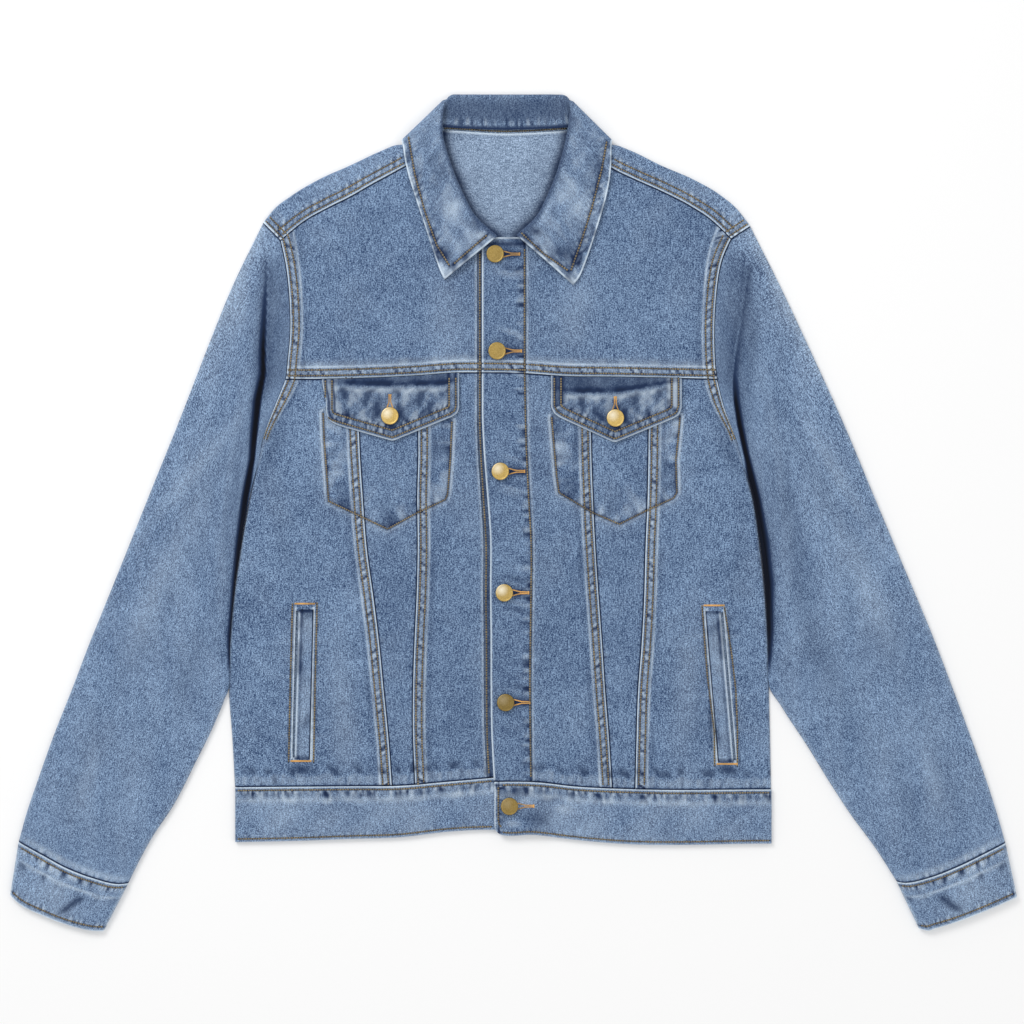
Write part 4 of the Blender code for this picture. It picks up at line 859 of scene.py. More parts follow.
def front_surface(grid, seed, lift=None, thickness=CLOTH, rows=(BOUND_ROW,), crease=0.18):
    """Lower and upper heights of a front panel, with its wear and depth of colour."""
    x, y = grid.x, grid.y
    low = underside(x, y) + (lift(x, y) if lift else 0)
    soft = folds(x, y, BODY_FOLDS)
    small = creases(x, y, seed)
    height, worn, deep = grid.effects(seed, rows)
    low = low + crease * small
    worn = worn + 0.20 * np.maximum(soft, 0) + 0.05 * np.maximum(small, 0)
    deep = deep + 0.35 * np.maximum(-soft, 0) + 0.05 * np.maximum(-small, 0)
    return low, low + thickness + height, worn, deep


def front_panel(name, left, right, left_kind, right_kind, seed, lift=None):
    """One upright panel of a lower front, with its part of the chest pocket's outline."""
    half = name[-1]
    kinds = {"bottom": "under", "top": "under", "left": left_kind, "right": right_kind}
    grid = Grid(left, right, hems[half], yoke_seam, (HEM_Y, YOKE_Y), kinds)
    low, high, worn, deep = front_surface(grid, seed, lift)
    x, y = grid.x, grid.y
    from_hem = grid.edge["bottom"]
    hemline = 11 + 3.5 * ripple(x, seed + 8, 23)
    strip = between(from_hem, 1.5, hemline, 1.5, 2)
    worn = worn + 0.30 * strip * (0.45 + 0.55 * ripple(x, seed + 6, 9))
    above = between(from_hem, hemline, hemline + 11, 2, 7)
    deep = deep + 0.60 * above * ease(0.3 - ripple(x + 0.4 * y, seed + 6, 21) * 1.6)
    deep = deep + 0.45 * strip * ease(-ripple(x, seed + 2, 13) * 2.4 - 0.6)
    height, more_worn, more_deep = pocket_effect(x, y, POCKET[half], seed)
    high, low, worn, deep = high + height, low + 0.5 * height, worn + more_worn, deep + more_deep
    keep = None
    at_side = "side" in (left_kind, right_kind)
    if at_side:
        keep, high, worn, deep = cut_slit(grid, half, high, worn, deep, seed)
        x = grid.x
    outer, inner = xyz(x, y, high), xyz(x, y, low)
    if at_side:
        worn, deep = side_finish(grid, outer, inner, worn, deep, half, seed)
    return cloth(name, outer, inner, xyz(x, y + 1000 * seed), worn, deep, keep)


def side_finish(grid, outer, inner, worn, deep, half, seed):
    """The side panel's outer edge: felled over the sleeve at the armhole, turned down below it."""
    sign = SIGN[half]
    d = grid.edge["left" if half == "l" else "right"]
    arm = ease((grid.n - ARM_BAND_END) / 10)
    height, more_worn, more_deep = edge_effect("felled", d / arm_band(grid.y), grid.y, seed + 4)
    outer[..., 2] += height * arm
    worn = worn + more_worn * arm + (1 - arm) * 0.16 * peak(d - 1.5, 1.2)
    # Below the armhole's band, a dark line along the turned edge is painted shade against the sleeve
    deep = deep + more_deep * arm + (1 - arm) * 0.5 * peak(d, 0.8)
    amount = ease((UNDERARM_Y + 3 - grid.n[:, 0]) / 16)
    for number, flat in enumerate(place for place in ROLL_ZONE if place <= SIDE_ROLL):
        k = number if half == "l" else -1 - number
        turn = 0.5 * math.pi * (1 - flat / SIDE_ROLL)
        edge = outer[:, k, 0] - sign * flat
        high, low = outer[:, k, 2].copy(), inner[:, k, 2].copy()
        reach = 1 - math.sin(turn)
        outer[:, k, 0] = edge + sign * mix(flat, SIDE_ROLL * reach, amount)
        inner[:, k, 0] = edge + sign * mix(flat, CLOTH + (SIDE_ROLL - CLOTH) * reach, amount)
        outer[:, k, 2] = mix(high, (low + CLOTH) * math.cos(turn), amount)
        inner[:, k, 2] = mix(low, low * math.cos(turn), amount)
    return worn, deep


def cut_slit(grid, half, high, worn, deep, seed):
    """Cuts the hand pocket's slit between the panel's own rows and columns, and wears its edges."""
    n = grid.n[:, 0]
    left, right = (curve(n) for curve in slits[half])
    middle = int(np.argmin(abs(n - 0.5 * (SLIT_TOP_Y + SLIT_BOTTOM_Y))))
    first, last = (int(np.argmin(abs(grid.x[middle] - side[middle]))) for side in (left, right))
    pull = np.exp(-np.maximum(0, np.maximum(n - SLIT_TOP_Y, SLIT_BOTTOM_Y - n)) / 30)
    numbers = np.arange(grid.x.shape[1])
    for k, target in ((first, left), (last, right)):
        shift = (target - grid.x[:, k]) * pull
        grid.x = grid.x + shift[:, None] * np.where(numbers == k, 1, 0.75 * peak(numbers - k, 2.2))
    rows = np.where((n > SLIT_BOTTOM_Y) & (n < SLIT_TOP_Y))[0]
    keep = np.ones((len(n) - 1, len(numbers) - 1), bool)
    keep[rows[0] : rows[-1], first:last] = False
    within = between(n, SLIT_BOTTOM_Y - 4, SLIT_TOP_Y + 4, 4, 4)[:, None]
    across = grid.x - 0.5 * (left + right)[:, None]
    # Painted shade below the slit's lower end
    deep = deep + 0.68 * spot(across, grid.y - SLIT_BOTTOM_Y + 9, 10, 5)
    wave = ripple(grid.y, seed + 9, 11)
    for d in (left[:, None] - grid.x, grid.x - right[:, None]):
        near = np.where(d >= -0.3, within, 0)
        worn = worn + near * (0.85 * rubbed(d, 1.5) + 0.22 * np.maximum(wave, 0) * np.exp(-d / 7))
        deep = deep + near * 0.32 * np.maximum(-wave, 0) * np.exp(-np.maximum(d - 2, 0) / 8)
        # Painted shade in the frame row's dip
        deep = deep + near * 0.6 * peak(d - 3.2, 0.9)
        high = high - near * 0.2 * peak(d - 2, 0.6)
    return keep, high, worn, deep


def placket(name, left, right, half, kinds, seed, lift=None):
    """One doubled strip down the front, with the yoke's seam across it and the pull of the buttons."""
    kinds = {"bottom": "under", "top": "folded", **kinds}
    span = (HEM_Y, PLACKET_LENGTH_Y)
    grid = Grid(left, right, hems[half], lambda x: PLACKET_TOP + 0 * x, span, kinds, dense=YOKE_Y - 7)
    low, high, worn, deep = front_surface(grid, seed, lift, DOUBLE, rows=(), crease=0.12)
    if lift:
        grid.x = grid.x - EDGE_LEANS * (1 - ease(grid.edge["left"] / 14)) * ease((grid.y + 45) / 150)
    x, y = grid.x, grid.y
    above = y - yoke_seam(x)
    band = edge_effect("felled", np.maximum(above, 0), x, seed + 1)
    band[0] *= 0.45
    beneath = edge_effect("under", np.maximum(-above, 0), x, seed + 2)
    height, more_worn, more_deep = mix(beneath, band, ease(above / 0.5 + 0.5))
    worn = worn + more_worn
    # The dark band a little below the top is painted shade under the collar's edge
    deep = deep + more_deep + 0.65 * peak(grid.edge["top"] - 6.5, 2.4)
    # On the under placket, a dark strip beside the over placket's edge is painted as its shadow
    if not lift:
        deep = deep + 0.5 * ease((SEAM["edge"](y) + 0.5 - x) / 1.5)
    # Round each button: darker beside it towards its buttonhole, a painted shadow along the buttonhole, and
    # tugged puckers
    for number, (bx, by) in enumerate(FRONT_BUTTONS):
        dx, dy = x - bx, y - by
        deep = deep + 0.62 * spot(dx - 7, dy, 15, 7) * (0.7 + 0.3 * ripple(x, number + 2, 9))
        deep = deep + 0.70 * between(dx, 7, 25.5, 3, 2) * peak(dy, 2.7)
        tugged = spot(dx - 14, abs(dy) - 15, 12, 8)
        wave = ripple(y + 0.3 * x, number + 1, 16) * 2
        worn = worn + 0.22 * tugged * ease(wave)
        deep = deep + 0.40 * tugged * ease(-wave)
    return panel(name, x, y, low, high + height, worn, deep, seed)


def front_yoke(half, seed):
    def arm(y):
        return side_edge(half, np.maximum(y, YOKE_Y + 0.01))

    def top(x):
        return np.where((x - NECK_POINT[half]) * SIGN[half] >= 0, necklines[half](x), shoulders[half](x))

    ends = ((arm, "felled"), (under_seam if half == "l" else SEAM["placket"], "flush"))
    (left, left_kind), (right, right_kind) = ends[:: SIGN[half]]
    kinds = {"bottom": "felled", "top": "under", "left": left_kind, "right": right_kind}
    grid = Grid(left, right, yoke_seam, top, (YOKE_Y, YOKE_TOP), kinds)
    low, high, worn, deep = front_surface(grid, seed, None if half == "l" else placket_lift)
    above_seam = peak(grid.edge["bottom"] - 13.2, 3.2)
    worn = worn + above_seam * (0.18 + 0.22 * ease(ripple(grid.x, seed + 9, 27) * 1.5))
    return panel("front_yoke_" + half, grid.x, grid.y, low, high, worn, deep, seed)


def make_fronts():
    front_panel("front_side_l", SEAM["side_l"], SEAM["out_l"], "side", "felled", 1)
    front_panel("front_middle_l", SEAM["out_l"], SEAM["in_l"], "under", "under", 2)
    front_panel("front_centre_l", SEAM["in_l"], under_seam, "felled", "flush", 3)
    front_panel("front_centre_r", SEAM["placket"], SEAM["in_r"], "flush", "felled", 4, placket_lift)
    front_panel("front_middle_r", SEAM["in_r"], SEAM["out_r"], "under", "under", 5)
    front_panel("front_side_r", SEAM["out_r"], SEAM["side_r"], "felled", "side", 6)
    front_yoke("l", 7)
    front_yoke("r", 8)
    beneath = {"left": "flush", "right": "free"}
    placket("placket_under", under_seam, lambda y: SEAM["placket"](y) - 9, "l", beneath, 9)
    over = {"left": "folded", "right": "sewn"}
    placket("placket_over", SEAM["edge"], SEAM["placket"], "r", over, 10, placket_lift)


# ---------------------------------------------------------------- back

def armhole_points(half):
    """Where the sleeve's cap meets the front: points from the shoulder's fold down to the underarm."""
    seam = shoulders[half]
    fold_x, seam_x = FOLD_END[half], SEAM_END[half]
    fold_y, seam_y = float(shoulder_fold(fold_x)), float(seam(seam_x))
    points = [(mix(fold_x, seam_x, k), mix(fold_y, seam_y, k)) for k in np.linspace(0, 0.8, 7)]
    for nominal in np.linspace(YOKE_TOP, YOKE_Y, 60):
        x = float(side_edge(half, nominal))
        share = (nominal - YOKE_Y) / (YOKE_TOP - YOKE_Y)
        points.append((x, mix(float(yoke_seam(x)) + HALF, float(seam(x)) - HALF, share)))
    for nominal in np.linspace(YOKE_Y - 2, UNDERARM_Y, 35):
        x = float(side_edge(half, nominal))
        points.append((x, float(front_height(nominal, x, half))))
    return np.array([(x - SIGN[half] * HALF, y) for x, y in points])


def back_edge(half, y):
    """Edge of the back layer: inside the turned side below the underarm, a plain armhole above it."""
    below = SEAM["side_" + half](y) + SIGN[half] * BACK_INSET
    start, middle = float(side_edge(half, UNDERARM_Y)), BACK_CORNER[half]
    places = (start, mix(start, middle, 0.62), middle, FOLD_END[half])
    above = np.interp(y, (UNDERARM_Y, 105, BACK_YOKE_Y, ARMHOLE_TOP_Y), places)
    return np.where(y < UNDERARM_Y, below, above + SIGN[half] * HALF)


def back_height(half, nominal):
    """Heights of the back's rows at its edge, level with the front's rows up to the cross seam."""
    front = front_height(nominal, SEAM["side_" + half](np.minimum(nominal, YOKE_Y)), half)
    return np.where(nominal <= YOKE_Y, front, nominal)


def make_back_body():
    nominal = np.linspace(HEM_Y, BACK_YOKE_Y, 104)[:, None]
    share = np.linspace(0, 1, 120)
    x = mix(back_edge("l", nominal), back_edge("r", nominal), share)
    y = mix(back_height("l", nominal), back_height("r", nominal), share)
    hem = waists["back"](x) + BACK_BAND_WIDTH + HALF
    y = y + (hem - y[:1]) * np.clip((-230 - nominal) / 26, 0, 1)
    y[-1] = BACK_YOKE_Y - HALF
    part = edge_effect("under", BACK_YOKE_Y - y, x, 31) + edge_effect("under", y - hem, x, 32)
    small = creases(x, y, 33)
    press = between(x, x[:, :1], x[:, -1:], 12, 12) * between(y, hem, BACK_YOKE_Y, 10, 10)
    lift = 0.25 * (small + 1) * press
    worn, deep = part[1] + 0.05 * (1 + small), part[2] + 0.05 * (1 - small)
    return panel("back_body", x, y, CLOTH + lift, lift, worn, deep, 20)


def make_back_yoke():
    """The back yoke, which runs over both shoulders to the front and ends at the neck between them."""
    ends = (FOLD_END["l"], FOLD_NECK["l"], FOLD_NECK["r"], FOLD_END["r"])
    zone = np.array(FELLED_ZONE)
    fold_x = np.concatenate([
        ends[0] + zone, np.linspace(ends[0] + zone[-1], ends[1], 64)[1:],
        np.linspace(ends[1], ends[2], 52)[1:-1],
        np.linspace(ends[2], ends[3] - zone[-1], 64)[:-1], ends[3] - zone[::-1],
    ])
    seam_x = np.interp(fold_x, ends, (SEAM_END["l"], NECK_POINT["l"], NECK_POINT["r"], SEAM_END["r"]))
    base_x = np.interp(fold_x, (ends[0], ends[-1]), (BACK_CORNER["l"] + HALF, BACK_CORNER["r"] - HALF))
    to_arm = np.minimum(fold_x - ends[0], ends[3] - fold_x)
    fold = xyz(fold_x, shoulder_fold(fold_x))
    seam = xyz(seam_x, np.where(seam_x < 0, shoulders["l"](seam_x), shoulders["r"](seam_x)) + GAP)
    base = xyz(base_x, BACK_YOKE_Y + HALF)
    toward = (seam - fold) / np.linalg.norm(seam - fold, axis=-1, keepdims=True)
    start = fold + toward * YOKE_FOLD_RADIUS
    neck = (fold_x > ends[1]) & (fold_x < ends[2])
    start[neck] = xyz(fold_x, neck_seam(fold_x))[neck]
    # The flat back, up to the fold
    share = np.linspace(0, 1, 76)[:, None]
    at = mix(base, start, share[..., None])
    x, y = at[..., 0], at[..., 1]
    small = creases(x, y, 34)
    lift = neck_lift(x, y) + 0.3 * (1 + small) * ease(share * 12) * ease((1 - share) * 14)
    part = edge_effect("bound", y - base[:, 1], x, 35, ROWS_APART)
    worn, deep = part[1] + 0.10 * (1 + small), part[2] + 0.10 * (1 - small)
    stretches = [(xyz(x, y, lift), xyz(x, y, lift + CLOTH), worn, deep, at + (0, 22000))]
    travelled = at[-1] + (0, 22000)
    # The turn over the shoulder
    top = LIFT + CLOTH + FELL_RISE
    turn = np.arange(15, 180, 15)[:, None]
    angle = np.radians(turn)
    faces = []
    for inset in (0, CLOTH):
        at = start - toward * ((YOKE_FOLD_RADIUS - inset) * np.sin(angle))[..., None]
        height = 0.5 * top - (0.5 * top - inset) * np.cos(angle)
        faces.append(xyz(at[..., 0], at[..., 1], neck_lift(start[:, 0], start[:, 1]) + height))
    arm_share = 0.2 + 0.8 * ease((2.6 - to_arm) / 0.8)
    arm = edge_effect("felled", to_arm, 0.045 * turn, 38)
    worn = 0.2 * np.sin(angle) ** 2 + arm[1] * arm_share
    stretches.append((*faces, worn, 0.15 * arm[2], travelled + xyz(0, 0.045 * turn)))
    # The front part, down to the shoulder seam
    length = np.linalg.norm(seam - start, axis=-1)
    near = zone[zone <= 11.6][::-1, None]
    plain = np.linspace(0, 1, 9)[:-1, None] * (1 - near[0] / length)
    share = np.concatenate([plain, 1 - near / length])
    at = start + (seam - start) * share[..., None]
    x, y = at[..., 0], at[..., 1]
    gap = length * (1 - share)
    part = edge_effect("bound", gap, x, 36, ROWS_APART)
    arm = edge_effect("felled", to_arm, gap, 38)
    small = creases(x, y, 37)
    rise = underside(x, y) - LIFT + top
    outer = xyz(x, y, rise + part[0] + 0.4 * arm[0] + 0.12 * small)
    inner = xyz(x, y, rise - CLOTH - FELL_RISE * share)
    worn = part[1] + 0.8 * arm[1] * arm_share + 0.06 * (1 + small)
    deep = part[2] + 0.3 * arm[2] + 0.05 * (1 - small)
    stretches.append((outer, inner, worn, deep, travelled + xyz(0, 8 + length * share)))
    outer, inner, worn, deep, plan = (np.concatenate(parts) for parts in zip(*stretches))
    keep = np.ones((len(outer) - 1, len(fold_x) - 1), bool)
    keep[75:, (fold_x[:-1] >= ends[1]) & (fold_x[1:] <= ends[2])] = False
    # The inside of the neck, shaded by the collar
    x, y = inner[..., 0], inner[..., 1]
    shade = 0.12 * ease(creases(x * 0.6, y * 3, 39) * 2)
    for rows in COLLAR.values():
        distance = from_line(x, y, [row[2:4] for row in rows[4:]])[0]
        shade = shade + 0.62 * peak(distance, 5) + 0.22 * np.exp(-distance / 16)
    to_neck = start[:, 1] - y
    shade = shade + neck * 0.35 * peak(to_neck - 3.6, 1)
    inside = (0.08 + 0.9 * ease((2.4 - to_neck) / 1) * neck, shade)
    return cloth("back_yoke", outer, inner, plan, worn, deep, keep, inside=inside, thin=1)


# ---------------------------------------------------------------- sleeves and cuffs

class Tube:
    """Shares across a flattened tube: over its top, then back along its flat underside."""

    def __init__(self, top_count):
        knots = np.linspace(0, 1, len(TUBE_SHARES))
        tops = np.interp(np.linspace(0, 1, top_count), knots, TUBE_SHARES)
        self.share = np.concatenate([tops, np.linspace(0.98, 0.02, 48)])
        self.on_top = np.arange(len(self.share)) < top_count
        self.shape = np.where(self.on_top, 1 - abs(2 * self.share - 1) ** ROUNDNESS, 0)
        self.crown = self.shape ** (1 / ROUNDNESS)
        self.round = np.where(self.on_top, self.share, 2 - self.share)
        self.from_turn = np.minimum(self.share, 1 - self.share)

    def faces(self, height, thickness, width):
        """Shares and heights of the outer face and of the inner one."""
        margin = thickness / width
        inner_share = margin + (1 - 2 * margin) * self.share
        inner_z = thickness + (height - 2 * thickness) * self.crown
        return (self.share, height * self.crown), (inner_share, inner_z)


def make_sleeve(half):
    tube = Tube(112)
    sign = SIGN[half]
    read = stations(STATION_COLUMNS, SLEEVE[half])
    cap = armhole_points(half)
    cap_fall = cap[-1, 1] - cap[0, 1]
    cap_share = (cap[:, 1] - cap[0, 1]) / cap_fall
    back_rows = np.linspace(UNDERARM_Y, ARMHOLE_TOP_Y, 40)
    back_x = back_edge(half, back_rows) - sign * GAP
    back_share = (back_height(half, back_rows) - cap[0, 1]) / cap_fall
    last = len(SLEEVE[half]) - 1
    near = np.array(UNDER_ZONE) / STATION_LENGTH
    by_cuff = last - np.array((0.12, 0.06, 0.03, 0))
    s = np.concatenate([near, np.linspace(near[-1], last - 0.2, 210)[1:], by_cuff])[:, None]
    head, foot = (xyz(read[part + "_x"](s), read[part + "_y"](s)) for part in ("outer", "inner"))
    width = np.linalg.norm(foot - head, axis=-1)
    height = read["height"](s)
    weight_cap = 1 - ease(s / 4)
    weight_cuff = ease((s - last + 2.5) / 2.5)
    room = height - 2 * CLOTH - 0.5
    faces = []
    for share, z in tube.faces(height, CLOTH, width):
        share = share + 0 * s
        front_x = np.interp(share, cap_share, cap[:, 0])
        cap_x = np.where(tube.on_top, front_x, np.interp(share, back_share[::-1], back_x[::-1]))
        cap_line = xyz(cap_x, cap[0, 1] + cap_fall * share)
        across = share[..., None]
        at = mix(head, foot, across) + weight_cap[..., None] * (cap_line - mix(head[0], foot[0], across))
        at = at + weight_cuff[..., None] * (cuff_tops[half](share) - mix(head[-1], foot[-1], across))
        x, y = at[..., 0], at[..., 1]
        fold = folds(x, y, SLEEVE_FOLDS) * tube.crown**2
        fold = np.maximum(fold * (1 - 0.7 * weight_cap), -room * tube.crown)
        faces.append(xyz(x, y, z + fold))
    outer, inner = faces
    x, y = outer[..., 0], outer[..., 1]
    plan = xyz(tube.round * width, STATION_LENGTH * s + (30000 if half == "l" else 33000))
    run = run_along(outer)
    to_cuff = run[-1:] - run
    across = plan[..., 0]
    part = edge_effect("under", run, across, 41) + edge_effect("under", to_cuff, across, 42)
    soft = folds(x, y, SLEEVE_FOLDS)
    fine = folds(x, y, SLEEVE_WRINKLES)
    small = creases(across, run, 43)
    lift = (fine + 0.30 * small) * ease(run / 14) * ease(to_cuff / 14) * tube.shape
    outer[..., 2] += lift + part[0] * tube.shape
    inner[..., 2] += np.maximum(lift, -0.2) * 0.6
    worn = part[1] + 0.16 * np.maximum(soft, 0) + 0.24 * np.maximum(fine, 0) + 0.04 * (1 + small)
    deep = part[2] + 0.20 * np.maximum(-soft, 0) + 0.3 * np.maximum(-fine, 0) + 0.04 * (1 - small)
    # The valley beside the body: a painted shadow along it, near black at its strongest, with painted shade
    # fading out to both sides and over the strip up to the armhole seam; the cloth dips there too
    valley = np.array(VALLEY[half], float)
    valley_x, solid, fade = (np.interp(-y, -valley[:, 1], valley[:, k]) for k in (0, 2, 3))
    gap, _, side = from_line(x, y, valley[:, :2])
    out = -sign * gap * side
    beyond = np.maximum(out - solid, 0)
    strong = 0.5 + 1.15 * np.minimum(solid / 2.2, 1)
    within = (tube.shape > 0) * between(y, -158, 262, 30, 40)
    stripe = ease((out + 1.2) / 2.2) * peak(beyond, fade)
    soft_side = ease((out + 9) / 9) * (out < 0) * ease((y - 90) / 30)
    deep = deep + within * (strong * stripe + 0.18 * soft_side + 0.25 * peak(beyond, 9) * (out > 0))
    toward_body = (x - valley_x) * sign
    deep = deep + 0.42 * within * ease(toward_body / 2.5) * peak(toward_body, 24) * ease((y - 95) / 40)
    outer[..., 2] -= 1.1 * within * np.minimum(strong * stripe, 1) * (tube.shape > 0.4)
    by_body = ease((tube.share * tube.on_top - 0.9) / 0.1)
    body_side = between(y, -175, 70, 12, 12) * by_body
    outer[..., 0] += body_side * SLEEVE_CLOSER * sign
    lowest = np.where(tube.shape > 0, outer[..., 2] - CLOTH, 99)
    inner[..., 2] = np.minimum(inner[..., 2], np.maximum(lowest, 2 * CLOTH))
    rim = 0.20 * peak(tube.from_turn, 0.02) * (0.7 + 0.3 * ripple(run, 44, 60))
    lifted = tucks(to_cuff, across, 47, 9, 8)[1]
    worn = (worn + rim) * (1 - body_side) + (0.30 * lifted + 0.22 * peak(to_cuff - 5, 3)) * tube.shape
    return cloth("sleeve_" + half, outer, inner, plan, worn, deep, ring=True)


def make_cuff(half):
    tube = Tube(96)
    top, end = cuff_tops[half], cuff_ends[half]
    forward = (end(0) - top(0)) / np.linalg.norm(end(0) - top(0))
    zone = np.array(BOUND_ZONE)
    middle = np.linspace(zone[-1], CUFF_DEPTH - zone[-1], 14)[1:-1]
    depth = np.concatenate([zone, middle, CUFF_DEPTH - zone[::-1]])[:, None]
    height = CUFF_HEIGHT - CUFF_TAPER * ease(2 * depth / CUFF_DEPTH - 1)
    faces = []
    for share, z in tube.faces(height, DOUBLE, CUFF_WIDTH):
        at = mix(top(share) + forward * GAP, end(share), depth[..., None] / CUFF_DEPTH)
        faces.append(xyz(at[..., 0], at[..., 1], z))
    outer, inner = faces
    across = tube.round * CUFF_WIDTH
    plan = xyz(across, depth + (36000 if half == "l" else 37000))
    part = edge_effect("bound", depth, across, 51, (3.2,))
    part = part + edge_effect("bound", CUFF_DEPTH - depth, across, 52, (4,))
    small = creases(across, depth, 53)
    pulled, lifted = tucks(depth - 3, across, 54, 10, 15)
    from_ridge = depth - 14.5 - 2 * ripple(across, 55, 37)
    patches = ease(-ripple(across, 56, 19) * 2.2 - 0.1) * peak(from_ridge - 2.6, 2.8)
    slant = peak(across - 84 + 0.75 * depth, 4.5) * between(depth, 16, 44, 6, 9)
    outer[..., 2] += (part[0] + 0.18 * small + 0.25 * (lifted - pulled) - 0.3 * patches) * tube.shape
    worn = part[1] + 0.09 * (1 + small) + 0.35 * peak(tube.from_turn, 0.02)
    worn = worn + (0.46 * lifted + 0.40 * peak(from_ridge, 1.3)) * tube.shape
    deep = part[2] + 0.05 * (1 - small) + (0.85 * pulled + 0.95 * patches + 0.80 * slant) * tube.shape
    return cloth("cuff_" + half, outer, inner, plan, worn, deep, ring=True)


# ---------------------------------------------------------------- waistband and collar

def make_waistband():
    """One strip: from its under end along the left front, round the back, and along the right front."""
    radius = 0.5 * BAND_HEIGHT
    zone = np.array(BOUND_ZONE)
    over_x = np.concatenate([np.linspace(241, BAND_END_X + zone[-1] + 2, 114), BAND_END_X + zone[::-1]])
    turns = np.linspace(-84, 84, 13)
    # Each stretch: whose edges it follows, its x, its turn from lying on its face, and its rise
    stretches = (
        ("l", np.linspace(14, -257, 124), 90, 0),
        ("l", np.full(13, -260.4), turns[::-1], 0),
        ("back", np.linspace(-255, 239, 140), -90, 0),
        ("r", np.full(13, 244.2), turns, 0),
        ("r", over_x, 90, PLACKET_STEP * ease((44 - over_x) / 24)),
    )
    columns = []
    for layer, x, turn, rise in stretches:
        bottom = waists[layer](x)
        top = bottom + BACK_BAND_WIDTH if layer == "back" else hems[layer](x)
        if layer == "r":
            corner = np.maximum(BAND_END_X + BAND_CORNER - x, 0)
            bottom = bottom + BAND_CORNER - np.sqrt(BAND_CORNER**2 - corner**2)
        columns.append(np.broadcast_arrays(x, np.radians(turn), rise, bottom, top, layer == "r"))
    x, angle, rise, bottom, top, on_end = (np.concatenate(column)[:, None] for column in zip(*columns))
    places = np.concatenate([zone, np.linspace(zone[-1], 40, 13)[1:-1], BAND_DEPTH - zone[::-1]])
    y = bottom + places / BAND_DEPTH * (top - HALF - bottom)
    turning = radius * (np.cos(angle) > 0.01)
    outer, inner = (
        xyz(
            x + np.where(on_end, 1, -1) * ((radius - inset) * np.cos(angle) - turning), y,
            rise + radius + (radius - inset) * np.sin(angle),
        )
        for inset in (0, DOUBLE)
    )
    along = run_along(outer[:, 0, [0, 2]])[:, None]
    from_top = y[:, -1:] - y
    part = edge_effect("bound", from_top, along, 61, (BAND_ROWS[0],))
    low_part = edge_effect("bound", y - y[:, :1], along, 62, (BAND_ROWS[1],))
    part = part + low_part * np.array((1, 0.35, 0.5))[:, None, None]
    part = part + edge_effect("bound", np.where(on_end, x - BAND_END_X, 1000), y, 63, (4,))
    small = creases(along, y, 64)
    pulled, lifted = tucks(from_top - 4, along, 66, 12, 11)
    patch = ease(ripple(along, 71, 23) * 1.6) * between(from_top, 4, 15, 2, 6)
    from_ridge = from_top - 12.2 - 1.6 * ripple(along, 67, 29)
    pale_line = peak(from_ridge, 2.7) * (0.20 + 0.26 * ease(ripple(along, 68, 31) * 2))
    dark_line = peak(from_ridge + 5.2, 2) * (0.10 + 0.3 * ease(-ripple(along, 69, 23) * 2))
    blot = on_end * spots(outer[..., 0], y, BAND_PLACES)
    seen = np.maximum(np.sin(angle), 0)
    outer[..., 2] += (part[0] + 0.14 * small + 0.3 * (lifted - pulled)) * seen
    worn = part[1] + 0.09 * (1 + small) + seen * (0.38 * lifted + pale_line + np.maximum(-blot, 0))
    deep = part[2] + 0.05 * (1 - small)
    deep = deep + seen * (0.55 * pulled + 0.42 * patch + dark_line + np.maximum(blot, 0))
    return cloth("waistband", outer, inner, xyz(along, y + 40000), worn, deep)


def collar_base(x, y):
    """Height that the collar's front rests on: the fronts, and the plackets where they overlap."""
    fronts = LIFT + CLOTH + ON_FRONTS + neck_lift(x, y)
    return fronts + ON_PLACKETS * ease((72 - abs(x + 6)) / 34) * ease((300 - y) / 30)


COLLAR_ZONE = np.array((*BOUND_ZONE, 10.6, 12))
COLLAR_TURNS = np.radians(np.linspace(90, -90, 19))
STAND_SHARES = np.linspace(0.1, 1, 14)


def collar_section(read, s, half):
    """Outer and inner points from the leaf's edge over the roll to the neck seam, with their way so far."""
    front = float(ease((s - 3.62) / 0.8))
    leaf, roll, seam = (np.append(station_point(read, part, s), 0) for part in ("leaf", "roll", "seam"))
    along_leaf = (roll - leaf) / np.linalg.norm(roll - leaf)
    along_stand = (roll - seam) / np.linalg.norm(roll - seam)
    up = np.array([0, 0, 1])
    outward = np.array([-along_leaf[1], along_leaf[0], 0]) * SIGN[half]
    normal = outward * math.sin(math.pi * front) - up * math.cos(math.pi * front)
    thick = 0.5 * DOUBLE
    apart = 0.5 * mix(ROLL_DEPTH, FLAT_DEPTH, front)
    base = float(collar_base(roll[0], roll[1]))
    centre = up * mix(apart + thick, base + thick + apart, front)
    flat_out = apart + thick
    length = float(np.linalg.norm(roll - leaf - along_leaf * flat_out))
    from_edge = np.concatenate([COLLAR_ZONE, np.linspace(COLLAR_ZONE[-1], length, 15)[1:-1]])
    outer, inner = [], []

    def add(at, facing):
        outer.append(at + centre + facing * (apart + thick))
        inner.append(at + centre + facing * (apart - thick))

    for d in from_edge:
        at = leaf + along_leaf * d
        local = float(collar_base(at[0], at[1])) - base
        droop = front * ((DOUBLE + 0.2) * (1 - float(ease((d / length - 0.05) / 0.4))) - local)
        add(at - up * droop, normal)
    for angle in COLLAR_TURNS:
        along = mix(along_stand, along_leaf, 0.5 + 0.5 * math.sin(angle))
        add(roll - along * flat_out, normal * math.sin(angle) + along * math.cos(angle))
    for share in STAND_SHARES:
        at = mix(roll - along_stand * flat_out, seam, share)
        local = float(collar_base(at[0], at[1])) - base
        add(at + up * front * local, -normal)
    rest = len(COLLAR_TURNS) + len(STAND_SHARES)
    return outer, inner, np.concatenate([from_edge, np.full(rest, 60)])


